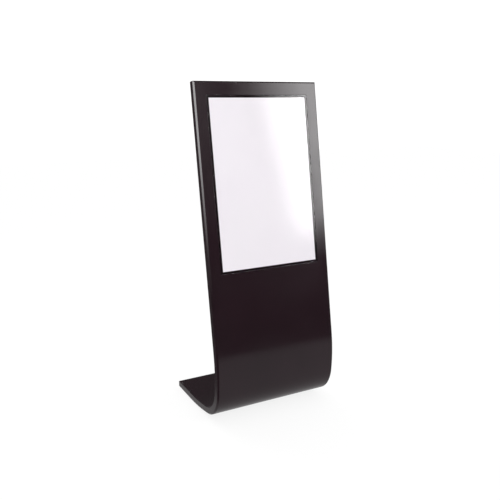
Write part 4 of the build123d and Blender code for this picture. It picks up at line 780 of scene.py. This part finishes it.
# ---------------------------------------------------------------- fans
FAN_NEAR = slab_box("fan_rotor_left")[0].z
FAN_FAR = slab_box("fan_rotor_left")[1].z
BLADES = 7
HUB_RADIUS = 0.015
BLADE_ROOT = 0.0008                 # how far the blades start inside the hub
BLADE_TIP = 0.0366
BLADE_STATIONS = 9
SECTION_POINTS = 14
ROOT_PITCH = math.radians(46)
TIP_PITCH = math.radians(26)
ROOT_CHORD = 0.0135
TIP_CHORD = 0.0175
SWEEP = math.radians(16)
HALF_THICKNESS = 0.0008
CAMBER = 0.0016


def between(first, last, share):
    return first + (last - first) * share


def blade_section(radius, share):
    """Closed aerofoil section at one radius: points around the hub's axis, as (turn, height)."""
    pitch = between(ROOT_PITCH, TIP_PITCH, share)
    chord = between(ROOT_CHORD, TIP_CHORD, share)
    half_height = (FAN_FAR - FAN_NEAR) / 2 - HALF_THICKNESS
    points = []
    for step in range(SECTION_POINTS):
        around = 2 * math.pi * step / SECTION_POINTS
        along = math.cos(around) * chord / 2
        nose = 1.2 - 0.4 * math.cos(around)
        thick = math.sin(around) * HALF_THICKNESS * nose + CAMBER * (1 - math.cos(around) ** 2)
        across = along * math.cos(pitch) - thick * math.sin(pitch)
        height = along * math.sin(pitch) + thick * math.cos(pitch)
        height = max(-half_height, min(half_height, height))
        points.append((across / radius + SWEEP * share, (FAN_NEAR + FAN_FAR) / 2 + height))
    return points


def fan_rotor(side):
    """Hub with a rounded cap, and blades that twist and sweep from root to tip."""
    name = "fan_rotor_" + side
    bm = bmesh.new()
    axis = slab_matrix(*slab_middle("fan_frame_" + side).xy, 0)
    turned(bm, axis, [
        (0, FAN_NEAR), (HUB_RADIUS - 0.0004, FAN_NEAR), (HUB_RADIUS, FAN_NEAR + 0.0004),
        (HUB_RADIUS, FAN_FAR - 0.0016), (HUB_RADIUS - 0.0005, FAN_FAR - 0.0006),
        (HUB_RADIUS - 0.0016, FAN_FAR), (0.0045, FAN_FAR), (0.004, FAN_FAR - 0.0004),
        (0, FAN_FAR - 0.0004)], 48)
    for blade in range(BLADES):
        first_turn = 2 * math.pi * blade / BLADES
        loops = []
        for station in range(BLADE_STATIONS):
            share = station / (BLADE_STATIONS - 1)
            radius = between(HUB_RADIUS - BLADE_ROOT, BLADE_TIP, share)
            loops.append([bm.verts.new(axis @ Vector((
                radius * math.cos(first_turn + turn), radius * math.sin(first_turn + turn), height)))
                for turn, height in blade_section(radius, share)])
        for low, high in zip(loops, loops[1:]):
            for step in range(SECTION_POINTS):
                after = (step + 1) % SECTION_POINTS
                bm.faces.new((low[step], low[after], high[after], high[step]))
        bm.faces.new(loops[0])
        bm.faces.new(loops[-1])
    finished(name + "_blades", bm, body_of_node[name], "fan_plastic", name)


# ---------------------------------------------------------------- leads
PORT_DEPTH = 0.0185
# Each lead's two ends: at the player or the supply, and at the board behind the display.
LEAD_ENDS = {
    "video": {"x": (-0.110, -0.110), "slant": (0.739, 1.127), "radius": 0.003, "width": (0.013, 0.018)},
    "touch": {"x": (-0.160, -0.200), "slant": (0.739, 1.032), "radius": 0.0022, "width": (0.011, 0.011)},
    "supply": {"x": (0.080, -0.045), "slant": (0.750, 1.127), "radius": 0.0026, "width": (0.012, 0.015)},
}
PLUG_LENGTH = 0.026
GRIP_HALF_DEPTH = 0.0036
RIDGE = 0.0004
SLEEVE_RINGS = 6


def plug_grip(bm, x, slant, way, wide):
    """Moulded grip with three ridges across it."""
    near, far = PORT_DEPTH - GRIP_HALF_DEPTH, PORT_DEPTH + GRIP_HALF_DEPTH
    on_slab(bm, x, slant + way * PLUG_LENGTH * 0.27, near, far, wide, PLUG_LENGTH * 0.5, 0.0012)
    for ridge in range(3):
        middle = slant + way * PLUG_LENGTH * (0.16 + 0.1 * ridge)
        on_slab(bm, x, middle, near - RIDGE, far + RIDGE, wide + 2 * RIDGE, 0.0009, 0.0003)


def plug_sleeve(bm, x, slant, way, radius):
    """Ribbed sleeve that narrows from the grip to the lead."""
    turn = Matrix.Rotation(-way * math.pi / 2, 4, "X")
    place = slab_matrix(x, slant + way * PLUG_LENGTH * 0.5, PORT_DEPTH) @ turn
    profile = [(0, 0)]
    for ring in range(SLEEVE_RINGS):
        height = PLUG_LENGTH * 0.5 * ring / SLEEVE_RINGS
        rib = radius + 0.0018 - 0.0002 * ring
        groove = rib - 0.0005
        profile += [(rib, height), (rib, height + 0.0012)]
        profile += [(groove, height + 0.0013), (groove, height + 0.0020)]
    end = PLUG_LENGTH * 0.5 + 0.0006
    turned(bm, place, profile + [(radius, end), (0, end)], 20)


def lead_plugs():
    """Moulded plug with a ribbed sleeve at each end of each inner lead."""
    bm = bmesh.new()
    for lead in LEAD_ENDS.values():
        for x, slant, wide, way in zip(lead["x"], lead["slant"], lead["width"], (1, -1)):
            plug_grip(bm, x, slant, way, wide)
            plug_sleeve(bm, x, slant, way, lead["radius"])
    finished("lead_plugs", bm, "root", "lead_jacket")


# ---------------------------------------------------------------- screws and the supply
TRAY_SCREW_REACH = (0.281, 0.435)   # from the tray's middle, across and up
TRAY_SIDE_PITCH = 0.145
TRAY_END_PITCH = 0.14


def tray_screws():
    """Screws around the display's tray: seven up each side, three along each end."""
    screws = bmesh.new()
    half_width, half_height = TRAY_SCREW_REACH
    spots = [(side * half_width, step * TRAY_SIDE_PITCH) for side in (-1, 1) for step in range(-3, 4)]
    spots += [(step * TRAY_END_PITCH, side * half_height) for side in (-1, 1) for step in range(-1, 2)]
    for x, rise in spots:
        screw_head(screws, slab_matrix(x, SCREEN_MID_SLANT + rise, TRAY_BACK), 0.0032)
    finished("tray_screws", screws, "root", "screw_steel")


SUPPLY_ROW_PITCH = 0.043
SUPPLY_PARTS = ((0.070, 0.030), (0.090, 0.034), (0.060, 0.040), (0.086, 0.028))
COIL_RADIUS = 0.0105


def supply_inside():
    """Dark transformers and coils that show through the power supply's holes."""
    bm = bmesh.new()
    middle = slab_middle("power_supply")
    for row, (wide, tall) in enumerate(SUPPLY_PARTS):
        slant = middle.y - 0.054 + row * SUPPLY_ROW_PITCH
        on_slab(bm, middle.x, slant, 0.0046, 0.021 + 0.001 * row, wide, tall, 0.0015)
        turned(bm, slab_matrix(middle.x - 0.02, slant, 0.0205), [
            (0, 0), (COIL_RADIUS - 0.001, 0), (COIL_RADIUS, 0.001), (COIL_RADIUS, 0.0045),
            (COIL_RADIUS - 0.001, 0.0055), (0.0045, 0.0055), (0.004, 0.005), (0, 0.005)])
    finished("supply_inside", bm, "root", "terminal_plastic")


TERMINAL_COLUMN_PITCH = 0.014
TERMINAL_ROW_PITCH = 0.024
TERMINAL_FLOOR = 0.026
CELLS = 7
CELL_PITCH = 0.012
CELL_FLOOR = 0.018
CLAMP_THICKNESS = 0.0008


def terminal_screws():
    """Clamp screws in the terminal block's holes and in the cells of the supply's terminals."""
    brass = bmesh.new()
    block = slab_middle("terminal_block")
    for column in (-1, 0, 1):
        for row in (-0.5, 0.5):
            place = slab_matrix(block.x + column * TERMINAL_COLUMN_PITCH, block.y + row * TERMINAL_ROW_PITCH,
                                TERMINAL_FLOOR)
            screw_head(brass, place, 0.0027)
    finished("terminal_screws", brass, "root", "pin_brass")
    clamps = bmesh.new()
    cells = slab_middle("supply_terminals")
    clamp_top = CELL_FLOOR + CLAMP_THICKNESS
    for cell in range(CELLS):
        x = cells.x + (cell - (CELLS - 1) / 2) * CELL_PITCH
        on_slab(clamps, x, cells.y, CELL_FLOOR, clamp_top, 0.0072, 0.0088, 0.0002)
        screw_head(clamps, slab_matrix(x, cells.y, clamp_top), 0.003)
    finished("supply_clamps", clamps, "root", "supply_metal")


# How far the edges of each CAD node are rounded.
SOFT_EDGES = {
    "body_shell": 0.0009, "rear_skin": 0.0004, "service_door": 0.0004, "door_frame": 0.0004,
    "pivot_brackets": 0.0005, "power_inlet": 0.0005, "switch_housing": 0.0004, "switch_rocker": 0.0005,
    "player_case": 0.0006, "player_bracket": 0.0003, "power_supply": 0.0004, "supply_terminals": 0.0003,
    "terminal_block": 0.0006, "ballast_plate_left": 0.0006, "ballast_plate_right": 0.0006,
    "rib_left": 0.0004, "rib_right": 0.0004, "sill_rail": 0.0003, "side_rail_left": 0.0003,
    "side_rail_right": 0.0003, "display_bracket_lower": 0.0003, "display_bracket_upper": 0.0003,
    "lock_keepers": 0.0003, "lock_body_lower": 0.0003, "lock_body_upper": 0.0003,
    "lock_cam_lower": 0.0003, "lock_cam_upper": 0.0003, "lock_plug_lower": 0.0002,
    "lock_plug_upper": 0.0002, "lock_nuts": 0.0003, "fan_frame_left": 0.0005, "fan_frame_right": 0.0005,
    "front_feet": 0.0005, "rear_feet": 0.0005, "inlet_pins": 0.0003, "lead_clips": 0.0004,
    "backlight_tray": 0.0003, "touch_glass": 0.0003, "intake_filters": 0.0008, "pivot_bushes": 0.0002,
}

# ---------------------------------------------------------------- build
make_camera()
make_world()
make_floor()
area_light("key_lamp", at=(2.6, -3.2, 2.9), target=(0, 0, 1.0), size=(1.6, 1.6), power=60)
area_light("back_lamp", at=(-1.5, 3.5, 2.6), target=(0, 0, 0.8), size=(2.5, 2.0), power=60)
shade_all()
for node, width in SOFT_EDGES.items():
    soften(node, width)
glass_print()
board_parts()
fan_rotor("left")
fan_rotor("right")
lead_plugs()
tray_screws()
terminal_screws()
supply_inside()
bpy.context.scene.view_settings.view_transform = "Standard"
